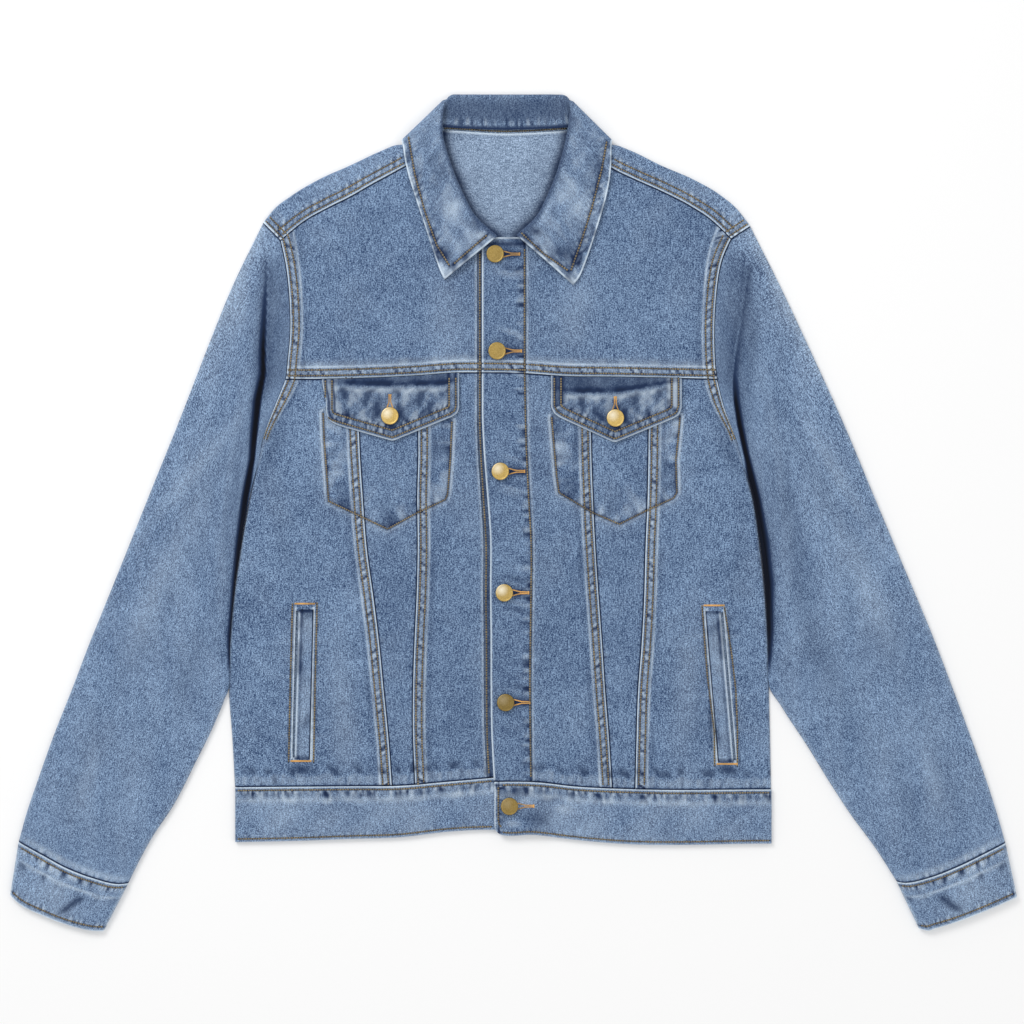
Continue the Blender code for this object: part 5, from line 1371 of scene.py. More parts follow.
def make_collar():
    """Stand and folded leaf in one double strip, from the left front end round the neck to the right."""
    spans = ((0, 2.6, 40), (2.65, 4.6, 60), (4.66, 10.7, 120))
    steps = np.concatenate([*(np.linspace(*span) for span in spans), 11 - np.array(BOUND_ZONE) / 26])
    steps = np.unique(np.round(np.clip(steps, 0, 11), 5))
    order = [("l", s) for s in steps[::-1]] + [("r", s) for s in steps[1:]]
    read = {half: stations(COLLAR_COLUMNS, COLLAR[half]) for half in SIDES}
    sections = [collar_section(read[half], s, half) for half, s in order]
    outer, inner, from_edge = (np.array(parts) for parts in zip(*sections))
    numbers = np.array([s for _, s in order])[:, None]
    along, depth = run_along(outer), run_along(outer, axis=1)
    to_end = np.minimum(along, along[-1:] - along)
    middle_run = along[:, 30:31]
    on_leaf = np.arange(outer.shape[1]) < len(COLLAR_ZONE) + 13
    under = 1 - on_leaf
    part = edge_effect("folded", from_edge, along, 71) + edge_effect("folded", to_end, depth, 72)
    small = creases(middle_run, depth, 73)
    front = ease((numbers - 4.2) / 0.6)
    behind = 1 - front
    topside = on_leaf * front
    x, y = outer[..., 0], outer[..., 1]
    lines = [line for half in SIDES for line in COLLAR_ROWS[half]]
    row_gap = np.minimum(99, np.min([from_line(x, y, line)[0] for line in lines], axis=0))
    patches = creases(x * 1.5, y * 1.3, 75)
    flecks = creases(x * 5, y * 4, 76)
    blot = spots(x, y, COLLAR_PLACES)
    blot = blot * np.where(blot > 0, 1, 0.55) * (1 + 0.8 * patches)
    rim_strip = ease((9 - np.minimum(from_edge, to_end)) / 3)
    pulled, lifted = tucks(np.maximum(row_gap - 1, 0), along, 77, 8, 9)
    outer[..., 2] += part[0] * topside + 0.14 * small * front + topside * 0.2 * (lifted - pulled)
    from_seam = depth[:, -1:] - depth
    stand_side = under * ease((34 - from_seam) / 6) * behind
    sewn, raised = tucks(np.maximum(from_seam - 2, 0), middle_run, 78, 12, 8)
    pale = 0.24 * lifted + np.maximum(-blot, 0) + 0.14 * ease(patches * 1.5)
    pale = pale + (0.10 + 0.30 * rim_strip) * ease(flecks * 1.6) + 0.10 * ease((7 - to_end) / 3)
    worn = part[1] * on_leaf + 0.06 * (1 + small) + topside * pale + stand_side * 0.34 * raised
    # Dark patches: deeper dye in the tucks, patches and listed places, painted shade along the stitch rows
    dark = 0.34 * pulled + np.maximum(blot, 0) + 0.22 * ease(-patches * 1.5) + 0.8 * peak(row_gap, 1.3)
    dark = dark + (0.14 + 0.36 * rim_strip) * ease(-flecks * 1.6)
    # Inside the neck the stand is painted darker as shade, with a dark painted shadow at the neck seam; its
    # tucks are darker too
    inner_side = between(from_seam, 4, 34, 8, 12)
    stand_dark = 0.55 * sewn + 0.34 * inner_side + 0.9 * ease((2.6 - from_seam) / 1)
    deep = 0.05 * (1 - small) + topside * dark + stand_side * stand_dark
    # The roll and the stand are painted darker as shade, more at the front
    deep = deep + under * (front * 0.55 + 0.16 * behind)
    return cloth("collar", outer, inner, xyz(middle_run, depth + 50000), worn, deep)


# ---------------------------------------------------------------- pockets

def make_flap(half, seed):
    """A chest flap: double cloth that lies on the panels and their felled seams."""
    rows = FLAP[half]
    left, right = rows[0][0] + 0.3, rows[-1][0] - 0.3
    zone = np.array((*BOUND_ZONE, 10.6, 12.2, 14))
    rim = zone[zone < 8]
    xs = np.concatenate([left + rim, np.linspace(left + 8, right - 8, 62)[1:-1], right - rim[::-1]])
    edge_y = np.interp(xs, *zip(*rows))
    ends = edge_y[[0, -1]]
    edge_y = 0.25 * np.roll(edge_y, 1) + 0.5 * edge_y + 0.25 * np.roll(edge_y, -1)
    edge_y[[0, -1]] = ends
    top_y = yoke_seam(xs) - HALF - FLAP_BELOW_SEAM
    full = 60  # the upper edge on the rows' own scale
    reach = np.concatenate([zone, np.linspace(zone[-1], full, 20)[1:]])[:, None]
    rise = top_y - edge_y
    rest = zone[-1] / rise + (1 - zone[-1] / rise) * ((reach - zone[-1]) / (full - zone[-1]))
    share = np.where(reach < zone[-1], np.minimum(reach, rise * 0.6) / rise, rest)
    y = mix(edge_y, top_y, share)
    x = np.broadcast_to(xs, y.shape)
    line = list(zip(xs.tolist(), edge_y.tolist()))
    distance, along, _ = from_line(x, y, line[::3] + [line[-1]])
    d = np.minimum(distance, np.minimum(x - left, right - x))
    part = edge_effect("bound", d, along, seed, (3.2, 9.5))
    top_part = edge_effect("under", top_y - y, x, seed + 1)
    if half == "l":
        x = x + FLAP_SLANT * ease((top_y - y) / 24) * ease((left + 22 - x) / 22)
    small = creases(x, y, seed)
    button_x, button_y = FLAP_BUTTONS[half]
    crease_x, crease_y, crease_strength = zip(*FLAP_CREASE[half])
    above = y - np.interp(x, crease_x, crease_y) - 1.1 * ripple(x, seed + 2, 9)
    strength = np.interp(x, crease_x, crease_strength)
    broken = 0.5 + 0.5 * ease(creases(x * 2.6, y * 3, seed + 7) + 0.7)
    crease = ease(above / 3.4) * (0.40 + 0.60 * peak(above - 3.4, 2.6))
    high = FLAP_BASE + DOUBLE + 1.15 * part[0] + 0.16 * small
    high = high + 0.3 * peak(d - 18, 8) - 0.35 * crease * strength
    patch = creases(x * 4.4, y * 3.6, seed + 3)
    amid = ease(-above / 3) * ease((d - 9) / 3)
    worn = 1.5 * part[1] + top_part[1] + 0.07 * (1 + small) + 0.50 * strength * peak(above + 2.5, 2.2)
    worn = worn + 0.38 * ease(patch * 1.8) * amid
    # Darker round the button; the crease under the yoke's seam is painted dark as a shadow, broken up, over a
    # slight dip
    deep = part[2] + 0.35 * spot(x - button_x, y - button_y, 11, 11) + 0.05 * (1 - small)
    deep = deep + 1.05 * strength * crease * broken + 0.44 * ease(-patch * 1.8) * amid
    return panel("flap_" + half, x, y, FLAP_BASE, high, worn, deep, seed)


def make_welt(half, seed):
    """A folded strip that stands in the slit; its mouth is the gap along one long side."""
    nominal = np.linspace(SLIT_BOTTOM_Y + 0.4, SLIT_TOP_Y - 0.4, 72)[:, None]
    left_gap, right_gap = (POCKET_MOUTH, GAP)[:: SIGN[half]]
    left, right = slits[half][0](nominal) + left_gap, slits[half][1](nominal) - right_gap
    zone = np.array((0, 0.35, 0.8, 1.4, 2.1, 2.8, 3.6, 4.6, 5.8))
    middle = mix(left + zone[-1], right - zone[-1], np.linspace(0, 1, 4)[1:-1])
    x = np.concatenate([left + zone, middle, right - zone[::-1]], axis=1)
    y = front_height(nominal, x, half)
    to_mouth, to_sewn = (x - left, right - x)[:: SIGN[half]]
    edges = enumerate((x - left, right - x), start=seed)
    part = sum(edge_effect("bound", distance, y, number, (3.4,))[0] for number, distance in edges)
    small = creases(x, y, seed)
    low = underside(x, y) + WELT_LIFT
    by_end = np.minimum(nominal - SLIT_BOTTOM_Y, SLIT_TOP_Y - nominal)
    worn = 0.70 * peak(to_mouth - 0.9, 0.7) * ease(by_end / 3) + 0.14 * (1 + small)
    # A near-black line along the sewn edge is a painted shadow in the seam; the dark line beside the mouth is
    # painted shade in the stitch row's dip, and the darker ends are painted shade
    deep = 1.3 * ease((1.1 - np.where(to_mouth <= to_sewn, 9, to_sewn)) / 0.9)
    deep = deep + 0.42 * peak(to_mouth - 3.4, 1.2)
    deep = deep + 0.7 * ease((5 - by_end) / 4) + 0.45 * ease(-creases(x * 2, y * 1.6, seed + 4) * 1.6)
    return panel("welt_" + half, x, y, low, low + DOUBLE + part, worn, deep, seed)


# ---------------------------------------------------------------- sewing

THREAD = 1.8  # width of a stitch
STITCH_PITCH = 2.4
SUNK = 0.12  # how far a stitch lies in the cloth
SUNK_BELOW = 0.75  # the same on the underside, pressed flat by the weight
STEEPEST = 0.35  # upright share of the cloth's normal below which nothing is sewn
BEAD = ((-0.5, 0.3, 0.10), (-0.32, 0.95, 0.90), (0.32, 0.95, 0.90), (0.5, 0.3, 0.10))  # place, width, height


class Sewing:
    """Collects stitches and needle holes laid on the cloth, then makes one mesh of them."""

    def __init__(self, name, over, thread="topstitch_thread"):
        self.name, self.thread = name, thread
        graph = bpy.context.evaluated_depsgraph_get()
        self.trees = [BVHTree.FromObject(bpy.data.objects["cloth_" + piece], graph) for piece in over]
        self.points, self.quads, self.slots = [], [], []

    def surface(self, x, y, below):
        """Highest (or lowest) cloth at a place in table axes, with its normal turned outward."""
        start = Vector(((x - CENTRE[0]) * MM, (y - CENTRE[1]) * MM, -0.05 if below else 0.1))
        best = None
        for tree in self.trees:
            hit, normal, _, _ = tree.ray_cast(start, Vector((0, 0, 1 if below else -1)))
            if hit is not None and (best is None or (hit.z > best[0].z) != below):
                best = (hit, normal)
        if best is None or abs(best[1].z) < STEEPEST:
            return None
        hit, normal = best
        return hit, (normal if (normal.z > 0) != below else -normal)

    def bead(self, x, y, direction, length, width, below=False, raise_by=0, height=0.55):
        """One stitch: a small bead along its direction."""
        found = self.surface(x, y, below)
        if found is None:
            return
        hit, up = found
        along = Vector((direction[0], direction[1], 0))
        along = (along - up * along.dot(up)).normalized()
        side = up.cross(along)
        base = len(self.points)
        for at, wide, tall in BEAD:
            for quarter in range(5):
                angle = math.pi * 0.25 * quarter
                w = 0.5 * width * max(wide, 0.35) * math.cos(angle)
                h = width * height * tall * math.sin(angle) - (SUNK_BELOW if below else SUNK) + raise_by
                point = hit + along * (at * length * MM) + side * (w * MM) + up * (h * MM)
                self.points.append(tuple(point))
        for i in range(len(BEAD) - 1):
            for a in range(base + 5 * i, base + 5 * i + 4):
                self.quads.append((a, a + 5, a + 6, a + 1))
                self.slots.append(0)

    def hole(self, x, y, below):
        """A needle hole between stitches: a small dark patch on the cloth, painted shade where the thread
        goes in.
        """
        found = self.surface(x, y, below)
        if found is None:
            return
        hit, up = found
        side = up.cross(Vector((1, 0, 0))).normalized()
        other = up.cross(side)
        base = len(self.points)
        for turn in range(6):
            angle = math.pi / 3 * turn
            spoke = side * math.cos(angle) + other * math.sin(angle)
            self.points.append(tuple(hit + spoke * (0.8 * MM) + up * (0.05 * MM)))
        self.quads += [(base, base + 1, base + 2, base + 3), (base, base + 3, base + 4, base + 5)]
        self.slots += [1, 1]

    def row(self, line, pitch=STITCH_PITCH, below=False, holes=True):
        """Stitches along a line of places."""
        line = np.array(line, float)
        lengths = run_along(line)
        total = lengths[-1]
        count = max(1, int(round(total / pitch)))
        seed = line[0, 0] * 0.37 + line[0, 1] * 0.71

        def place(at):
            at = min(max(at, 0), total)
            return np.array([np.interp(at, lengths, line[:, 0]), np.interp(at, lengths, line[:, 1])])

        for k in range(count):
            at = (k + 0.5) * total / count
            long = 0.80 + 0.06 * math.sin(k * 2.3 + seed)
            wide = THREAD * (1 + 0.12 * math.sin(k * 1.7 + seed))
            self.bead(*place(at), place(at + 1) - place(at - 1), pitch * long, wide, below)
            if holes:
                self.hole(*place((k + 1) * total / count), below)

    def bartack(self, start, end, width=1.8):
        """A dense bar of stitches across a seam's end."""
        start, end = np.array(start, float), np.array(end, float)
        length = float(np.linalg.norm(end - start))
        along = (end - start) / length
        across = np.array([-along[1], along[0]])
        count = max(4, int(length / 0.62))
        for k in range(count + 1):
            at = start + along * length * k / count
            self.bead(*at, across + 0.12 * along, width, 0.72, raise_by=0.25, height=0.7)

    def keyhole_row(self, line):
        """Close stitches across one side of a buttonhole."""
        for start, end in zip(np.array(line), np.array(line[1:])):
            length = float(np.linalg.norm(end - start))
            along = (end - start) / length
            for k in range(int(length / 0.72) + 1):
                at = start + along * 0.72 * k
                self.bead(*at, (-along[1], along[0]), 1.35, 0.76, height=0.75)

    def finish(self):
        mesh = quad_mesh(self.name, np.array(self.points), np.array(self.quads), np.array(self.slots))
        return add_piece(self.name, mesh, "thread", thread_material(self.thread), needle_shade_material())


def beside(seam, offset, low, high):
    """A line beside an upright seam, at an offset in x, between two heights."""
    return [(float(seam(y)) + offset, y) for y in np.linspace(low, high, 60)]


def level(seam, offset, low, high, count=60):
    """A line beside a level seam, at an offset in y, between two x."""
    return [(x, float(seam(x)) + offset) for x in np.linspace(low, high, count)]


def offset_line(line, offset):
    """A line moved sideways, to its left."""
    line = np.array(line, float)
    direction = np.gradient(line, axis=0)
    direction = direction / np.linalg.norm(direction, axis=-1, keepdims=True)
    return line + np.column_stack([-direction[:, 1], direction[:, 0]]) * offset


FRONT_NAMES = (
    "front_side_l", "front_middle_l", "front_centre_l", "front_centre_r", "front_middle_r", "front_side_r",
    "front_yoke_l", "front_yoke_r", "placket_under", "placket_over",
)


def sew_fronts():
    sewing = Sewing("stitches_fronts", FRONT_NAMES)
    for name, sign in (("out_l", -1), ("in_l", 1), ("in_r", -1), ("out_r", 1)):
        for d in ROWS_APART:
            sewing.row(beside(SEAM[name], sign * d, HEM_Y + 2, YOKE_Y - 5))
    for d in ROWS_APART:
        sewing.row(level(yoke_seam, d, -211, -28))
        sewing.row(level(yoke_seam, d, 15, 191))
    for half, sign in SIGN.items():
        edge = armhole_points(half)
        edge = edge[(edge[:, 1] < 262) & (edge[:, 1] > ARM_BAND_END)]
        for d in ROWS_APART:
            sewing.row(offset_line(edge, (d * sign * arm_band(edge[:, 1]))[:, None]))
    sewing.row(beside(SEAM["placket"], -1.2, -246, 250))
    sewing.row(beside(under_seam, 2.3, -243, 246))
    for d in ROWS_APART:
        sewing.row(level(yoke_seam, d, -26.5, 13.5, 16))
    return sewing.finish()


def sew_pockets():
    sewing = Sewing("stitches_pockets", (*FRONT_NAMES, "welt_l", "welt_r"))
    for line in POCKET.values():
        sewing.row(line, 2.1, holes=False)
    for line in POCKET_FRAMES:
        sewing.row(line)
    return sewing.finish()


def sew_flaps():
    sewing = Sewing("stitches_flaps", ("flap_l", "flap_r", "front_yoke_l", "front_yoke_r"))
    for rows in FLAP.values():
        top = float(yoke_seam(0.5 * (rows[0][0] + rows[-1][0]))) - 1
        outline = np.array([(rows[0][0], top), *rows, (rows[-1][0], top)], float)
        run = run_along(outline)
        places = np.linspace(0, run[-1], 260)
        outline = np.column_stack([np.interp(places, run, outline[:, k]) for k in (0, 1)])
        for d in FLAP_ROWS:
            inner = offset_line(outline, d)
            distance = from_line(inner[:, 0], inner[:, 1], outline[::2])[0]
            sewing.row(inner[distance > d - 0.2])
    return sewing.finish()


def sew_shoulders():
    sewing = Sewing("stitches_shoulders", ("back_yoke", "sleeve_l", "sleeve_r", "back_body"))
    for half, ends in (("l", (-214, -100)), ("r", (92, 202))):
        for d in ROWS_APART:
            sewing.row(offset_line(level(shoulders[half], 0, *ends), d))
    for d in ROWS_APART:
        sewing.row([(-209, BACK_YOKE_Y + d), (190, BACK_YOKE_Y + d)], below=True)
    for half, sign in SIGN.items():
        heights = np.linspace(70, 268, 60)
        sewing.row([(float(back_edge(half, y)) + sign * ROWS_APART[0], y) for y in heights], below=True)
        from_fold = np.array((FOLD_END[half], float(shoulder_fold(FOLD_END[half]))))
        to_seam = np.array((SEAM_END[half], float(shoulders[half](SEAM_END[half]))))
        for d in ROWS_APART:
            shift = (0.68 * sign * d, 0.68 * d)
            sewing.row([mix(from_fold, to_seam, share) + shift for share in np.linspace(0.03, 0.97, 12)])
    return sewing.finish()


def sew_bands():
    sewing = Sewing("stitches_bands", ("waistband", "cuff_l", "cuff_r", "collar"))
    for half, ends in (("l", (-258.2, -19)), ("r", (-9, 242))):
        sewing.row(level(hems[half], -BAND_ROWS[0], *ends))
        sewing.row(level(waists[half], BAND_ROWS[1], *ends))
    round_corner = ((6.4, -293.2), (4.2, -290), (3.6, -286), (3.6, -255.5))
    sewing.row([(BAND_END_X + x, y) for x, y in round_corner])
    for offset in (BAND_ROWS[1], BACK_BAND_WIDTH - BAND_ROWS[0]):
        sewing.row(level(waists["back"], offset, -252, 237), below=True)
    shares = np.linspace(0.03, 0.97, 40)
    for half in SIDES:
        start, finish = cuff_tops[half](shares), cuff_ends[half](shares)
        for below in (False, True):
            sewing.row(mix(start, finish, 3.6 / CUFF_DEPTH), below=below)
            sewing.row(mix(finish, start, 4.4 / CUFF_DEPTH), below=below)
    for half in SIDES:
        for line in COLLAR_ROWS[half]:
            sewing.row(line, 2.6)
    sewing.row(level(neck_seam, 2.4, -64, 51, 50), 2.3)
    return sewing.finish()


# One side of a buttonhole: its way from the button's centre and its half width
KEYHOLE = ((7.8, 2.7), (15, 0.85), (22.6, 0.7))
FLAP_KEYHOLE = ((7.6, 2.7), (13, 0.85), (19.4, 0.7))


def sew_buttonholes():
    """Keyhole buttonholes beside each button, and the bars that close each hand pocket's slit."""
    over = (
        "placket_over", "waistband", "flap_l", "flap_r", "front_side_l", "front_side_r", "welt_l", "welt_r",
    )
    sewing = Sewing("buttonholes", over, "buttonhole_thread")
    for x, y in FRONT_BUTTONS:
        for side in (1, -1):
            sewing.keyhole_row([(x + along, y + side * out) for along, out in KEYHOLE])
        sewing.bartack((x + 22.8, y - 1.2), (x + 22.8, y + 1.2), 1.5)
    for x, y in FLAP_BUTTONS.values():
        for side in (1, -1):
            sewing.keyhole_row([(x + side * out, y + along) for along, out in FLAP_KEYHOLE])
        sewing.bartack((x - 1.2, y + 19.7), (x + 1.2, y + 19.7), 1.5)
    for half in SIDES:
        for y in (SLIT_TOP_Y + 5, SLIT_BOTTOM_Y - 1.5):
            left, right = float(slits[half][0](y)) - 1, float(slits[half][1](y)) + 1
            place_y = float(front_height(y, 0.5 * (left + right), half))
            sewing.bartack((left, place_y), (right, place_y))
    return sewing.finish()


# ---------------------------------------------------------------- buttons

BUTTON_PARTS = 56


def make_button(name, node, x, y, low, turn, finish):
    """A shank button: rolled rim, slightly dented groove and low dome, of uneven tone; its lighting entry
    paints it lighter or darker and gives it a painted highlight.
    """
    angles = np.linspace(0, 2 * math.pi, BUTTON_PARTS, endpoint=False) + turn
    radius, height = (np.array(values)[:, None] for values in zip(*BUTTON_PROFILE))
    dent = 0.05 * np.sin(3 * angles + turn) * (height > 2) * (radius > 1)
    points = xyz(radius * np.cos(angles), radius * np.sin(angles), height + dent).reshape(-1, 3) * MM
    rows = np.arange(len(BUTTON_PROFILE))
    whole = np.ones((len(rows) - 1, BUTTON_PARTS), bool)
    mesh = quad_mesh(name, points, grid_faces(whole, rows, np.arange(BUTTON_PARTS + 1), BUTTON_PARTS))
    tidy = bmesh.new()
    tidy.from_mesh(mesh)
    bmesh.ops.remove_doubles(tidy, verts=tidy.verts, dist=0.00001)
    bmesh.ops.recalc_face_normals(tidy, faces=tidy.faces)
    tidy.to_mesh(mesh)
    tidy.free()
    place = ((x - CENTRE[0]) * MM, (y - CENTRE[1]) * MM, low * MM)
    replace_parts(add_piece(name, mesh, "brass", brass_material(*finish), at=place), node)


def make_buttons():
    for number, (x, y) in enumerate(FRONT_BUTTONS, start=1):
        low = float(underside(x, y) + placket_lift(x, y)) + DOUBLE + GAP
        if y < HEM_Y:
            low = BAND_HEIGHT + PLACKET_STEP + GAP
        finish = BUTTON_LIGHTING[number - 1]
        make_button(f"brass_button_{number}", f"button_{number}", x, y, low + 0.1, 0.9 * number, finish)
    for half, (x, y) in FLAP_BUTTONS.items():
        low = FLAP_BASE + DOUBLE + GAP
        make_button("brass_flap_button_" + half, "flap_button_" + half, x, y, low, 2, BUTTON_LIGHTING[-1])


# ---------------------------------------------------------------- materials

CLOTH_COLOURS = {
    # name: (light, dark)
    "washed_denim": ((0.370, 0.535, 0.775), (0.013, 0.038, 0.112)),
    "denim_wrong_side": ((0.490, 0.640, 0.860), (0.055, 0.100, 0.185)),
}
WORN = (0.66, 0.78, 0.90)
# Colour of the darkening: deeper dye and painted shade alike; past 1 it goes on to SHADOW, a painted shadow
DEEP = (0.014, 0.030, 0.080)
SHADOW = (0.001, 0.002, 0.006)
INPUTS = {
    "NodeSocketVector": ("Weave",),
    "NodeSocketColor": ("Light", "Dark", "Worn Colour", "Deep Colour", "Shadow Colour"),
    "NodeSocketFloat": ("Worn", "Deep", "Fleck", "Fade"),
}
OUTPUTS = {"NodeSocketColor": ("Color",), "NodeSocketFloat": ("Roughness", "Height")}


def node(tree, kind, **values):
    made = tree.nodes.new(kind)
    for name, value in values.items():
        setattr(made, name, value)
    return made


def set_inputs(made, **values):
    """Gives a node's inputs their values; a space in a name is written as an underscore."""
    for name, value in values.items():
        made.inputs[name.replace("_", " ")].default_value = value
    return made


def math_node(tree, operation, a, b, clamp=False):
    """A math node whose inputs are numbers or other nodes' outputs."""
    made = node(tree, "ShaderNodeMath", operation=operation, use_clamp=clamp)
    for socket, value in zip(made.inputs, (a, b)):
        if isinstance(value, (int, float)):
            socket.default_value = value
        else:
            tree.links.new(value, socket)
    return made.outputs[0]


def noise(tree, vector, size, detail=2.0, stretch=(1.0, 1.0, 1.0), roughness=0.5):
    """Noise whose grain has this size in metres, stretched along its axes."""
    scaled = set_inputs(node(tree, "ShaderNodeMapping"), Scale=tuple(1.0 / (size * s) for s in stretch))
    tree.links.new(vector, scaled.inputs["Vector"])
    texture = set_inputs(node(tree, "ShaderNodeTexNoise"), Scale=1.0, Detail=detail, Roughness=roughness)
    tree.links.new(scaled.outputs[0], texture.inputs["Vector"])
    return texture.outputs["Fac"]


def mix_colour(tree, factor, a, b):
    made = node(tree, "ShaderNodeMix", data_type="RGBA")
    for name, value in (("Factor", factor), ("A", a), ("B", b)):
        tree.links.new(value, made.inputs[name])
    return made.outputs["Result"]


def ramp(tree, value, start, dark, end, light):
    """Two colours between two places of a value."""
    made = node(tree, "ShaderNodeValToRGB")
    for element, position, colour in zip(made.color_ramp.elements, (start, end), (dark, light)):
        element.position = position
        element.color = (*colour, 1.0)
    tree.links.new(value, made.inputs["Fac"])
    return made.outputs["Color"]


def add_bump(tree, shader, height, strength, distance):
    made = set_inputs(node(tree, "ShaderNodeBump"), Strength=strength, Distance=distance)
    tree.links.new(height, made.inputs["Height"])
    tree.links.new(made.outputs["Normal"], shader.inputs["Normal"])


def denim_group():
    """Washed denim: flecked twill with uneven fading, paler where worn, darker where the dye stayed deep and
    where shade is painted in, and near black where the darkening goes past 1, a painted shadow.
    """
    group = bpy.data.node_groups.get("Washed Denim")
    if group:
        return group
    group = bpy.data.node_groups.new("Washed Denim", "ShaderNodeTree")
    for in_out, sockets in (("INPUT", INPUTS), ("OUTPUT", OUTPUTS)):
        for kind, names in sockets.items():
            for name in names:
                group.interface.new_socket(name=name, in_out=in_out, socket_type=kind)
    source = node(group, "NodeGroupInput").outputs
    target = node(group, "NodeGroupOutput").inputs
    weave = source["Weave"]
    streak = noise(group, weave, 0.0009, 1.0, (1.0, 10.0, 1.0))
    warp = noise(group, weave, 0.0008, 1.0, (1.0, 2.8, 1.0))
    weft = noise(group, weave, 0.0008, 1.0, (2.2, 1.0, 1.0))
    grain = noise(group, weave, 0.0008, 2.0, (1.0, 1.0, 1.0), 0.7)
    knots = noise(group, weave, 0.0036, 1.0, (1.0, 1.2, 1.0))
    slub = noise(group, weave, 0.0022, 1.0, (1.0, 9.0, 1.0))
    mottle = noise(group, weave, 0.009, 2.0, (1.0, 1.3, 1.0))
    patch = noise(group, weave, 0.032, 2.0)
    wide = noise(group, weave, 0.11, 1.0)

    def add(a, b, clamp=False):
        return math_node(group, "ADD", a, b, clamp)

    def times(a, b, clamp=False):
        return math_node(group, "MULTIPLY", a, b, clamp)

    def swing(value, amount):
        return times(math_node(group, "SUBTRACT", value, 0.5), amount)

    def total(*parts):
        value = swing(*parts[0])
        for part in parts[1:]:
            value = add(value, swing(*part))
        return value

    fine = total((streak, 0.8), (warp, 1.3), (weft, 1.5), (grain, 2.7), (knots, 0.45), (slub, 0.2))
    slow = total((mottle, 0.32), (patch, 0.26), (wide, 0.27))
    share = add(add(times(fine, source["Fleck"]), times(slow, source["Fade"])), 0.35, clamp=True)
    worn = times(source["Worn"], add(swing(grain, 2.6), 1.0), clamp=True)
    deep = times(source["Deep"], add(swing(grain, 1.2), 1.0), clamp=True)
    beyond = math_node(group, "SUBTRACT", source["Deep"], 1.0, clamp=True)
    colour = mix_colour(group, share, source["Dark"], source["Light"])
    colour = mix_colour(group, worn, colour, source["Worn Colour"])
    colour = mix_colour(group, deep, colour, source["Deep Colour"])
    colour = mix_colour(group, beyond, colour, source["Shadow Colour"])
    height = add(add(times(warp, 0.5), times(grain, 0.6)), times(mottle, 0.5))
    for name, value in (("Color", colour), ("Roughness", add(times(worn, -0.06), 0.90)), ("Height", height)):
        group.links.new(value, target[name])
    return group


def shaded(name, build, *settings):
    """The material of this name; the first call builds it."""
    material = bpy.data.materials.get(name)
    if material is None:
        material = bpy.data.materials.new(name)
        material.use_nodes = True
        build(material.node_tree, material.node_tree.nodes["Principled BSDF"], *settings)
    return material


def build_denim(tree, shader, name):
    settings = bpy.context.scene.jacket_cloth
    effect = node(tree, "ShaderNodeGroup", node_tree=denim_group())
    weave = node(tree, "ShaderNodeUVMap", uv_map="weave")
    threads = node(tree, "ShaderNodeMapping")
    threads.inputs["Rotation"].default_value[2] = math.radians(90.0 if name == "denim_wrong_side" else 0.0)
    tree.links.new(weave.outputs[0], threads.inputs["Vector"])
    tree.links.new(threads.outputs[0], effect.inputs["Weave"])
    for label, strength in (("worn", settings.wear), ("deep", settings.depth)):
        mask = node(tree, "ShaderNodeAttribute", attribute_name=label)
        scaled = math_node(tree, "MULTIPLY", mask.outputs["Fac"], strength)
        tree.links.new(scaled, effect.inputs[label.capitalize()])
    light, dark = CLOTH_COLOURS[name]
    if name == "washed_denim":
        light, dark = settings.light, settings.dark
    set_inputs(
        effect, Light=(*light, 1.0), Dark=(*dark, 1.0), Worn_Colour=(*settings.worn_colour, 1.0),
        Deep_Colour=(*DEEP, 1.0), Shadow_Colour=(*SHADOW, 1.0), Fleck=settings.fleck, Fade=1.0,
    )
    add_bump(tree, shader, effect.outputs["Height"], 0.45, 0.0004)
    tree.links.new(effect.outputs["Color"], shader.inputs["Base Color"])
    tree.links.new(effect.outputs["Roughness"], shader.inputs["Roughness"])
    set_inputs(shader, Specular_IOR_Level=0.12, Sheen_Weight=0.04, Sheen_Roughness=0.6)


def denim_material(name):
    """One face of the cloth, with its own colours in the shared denim effect."""
    return shaded(name, build_denim, name)


def build_thread(tree, shader, name):
    settings = bpy.context.scene.jacket_sewing
    value = noise(tree, node(tree, "ShaderNodeTexCoord").outputs["Object"], 0.011, 3.0)
    red, green, blue = settings.thread_colour if name == "topstitch_thread" else settings.buttonhole_colour
    colour = ramp(tree, value, 0.36, (red * 0.52, green * 0.56, blue * 0.70), 0.64, (red, green, blue))
    tree.links.new(colour, shader.inputs["Base Color"])
    set_inputs(shader, Roughness=0.6, Specular_IOR_Level=0.25)


def thread_material(name):
    return shaded(name, build_thread, name)


def build_plain(_, shader, colour, **values):
    set_inputs(shader, Base_Color=(*colour, 1.0), **values)


# The needle holes' dark patches are painted shade
def needle_shade_material():
    return shaded("needle_hole_shade", lambda *made: build_plain(*made, (0.012, 0.022, 0.050), Roughness=0.95))


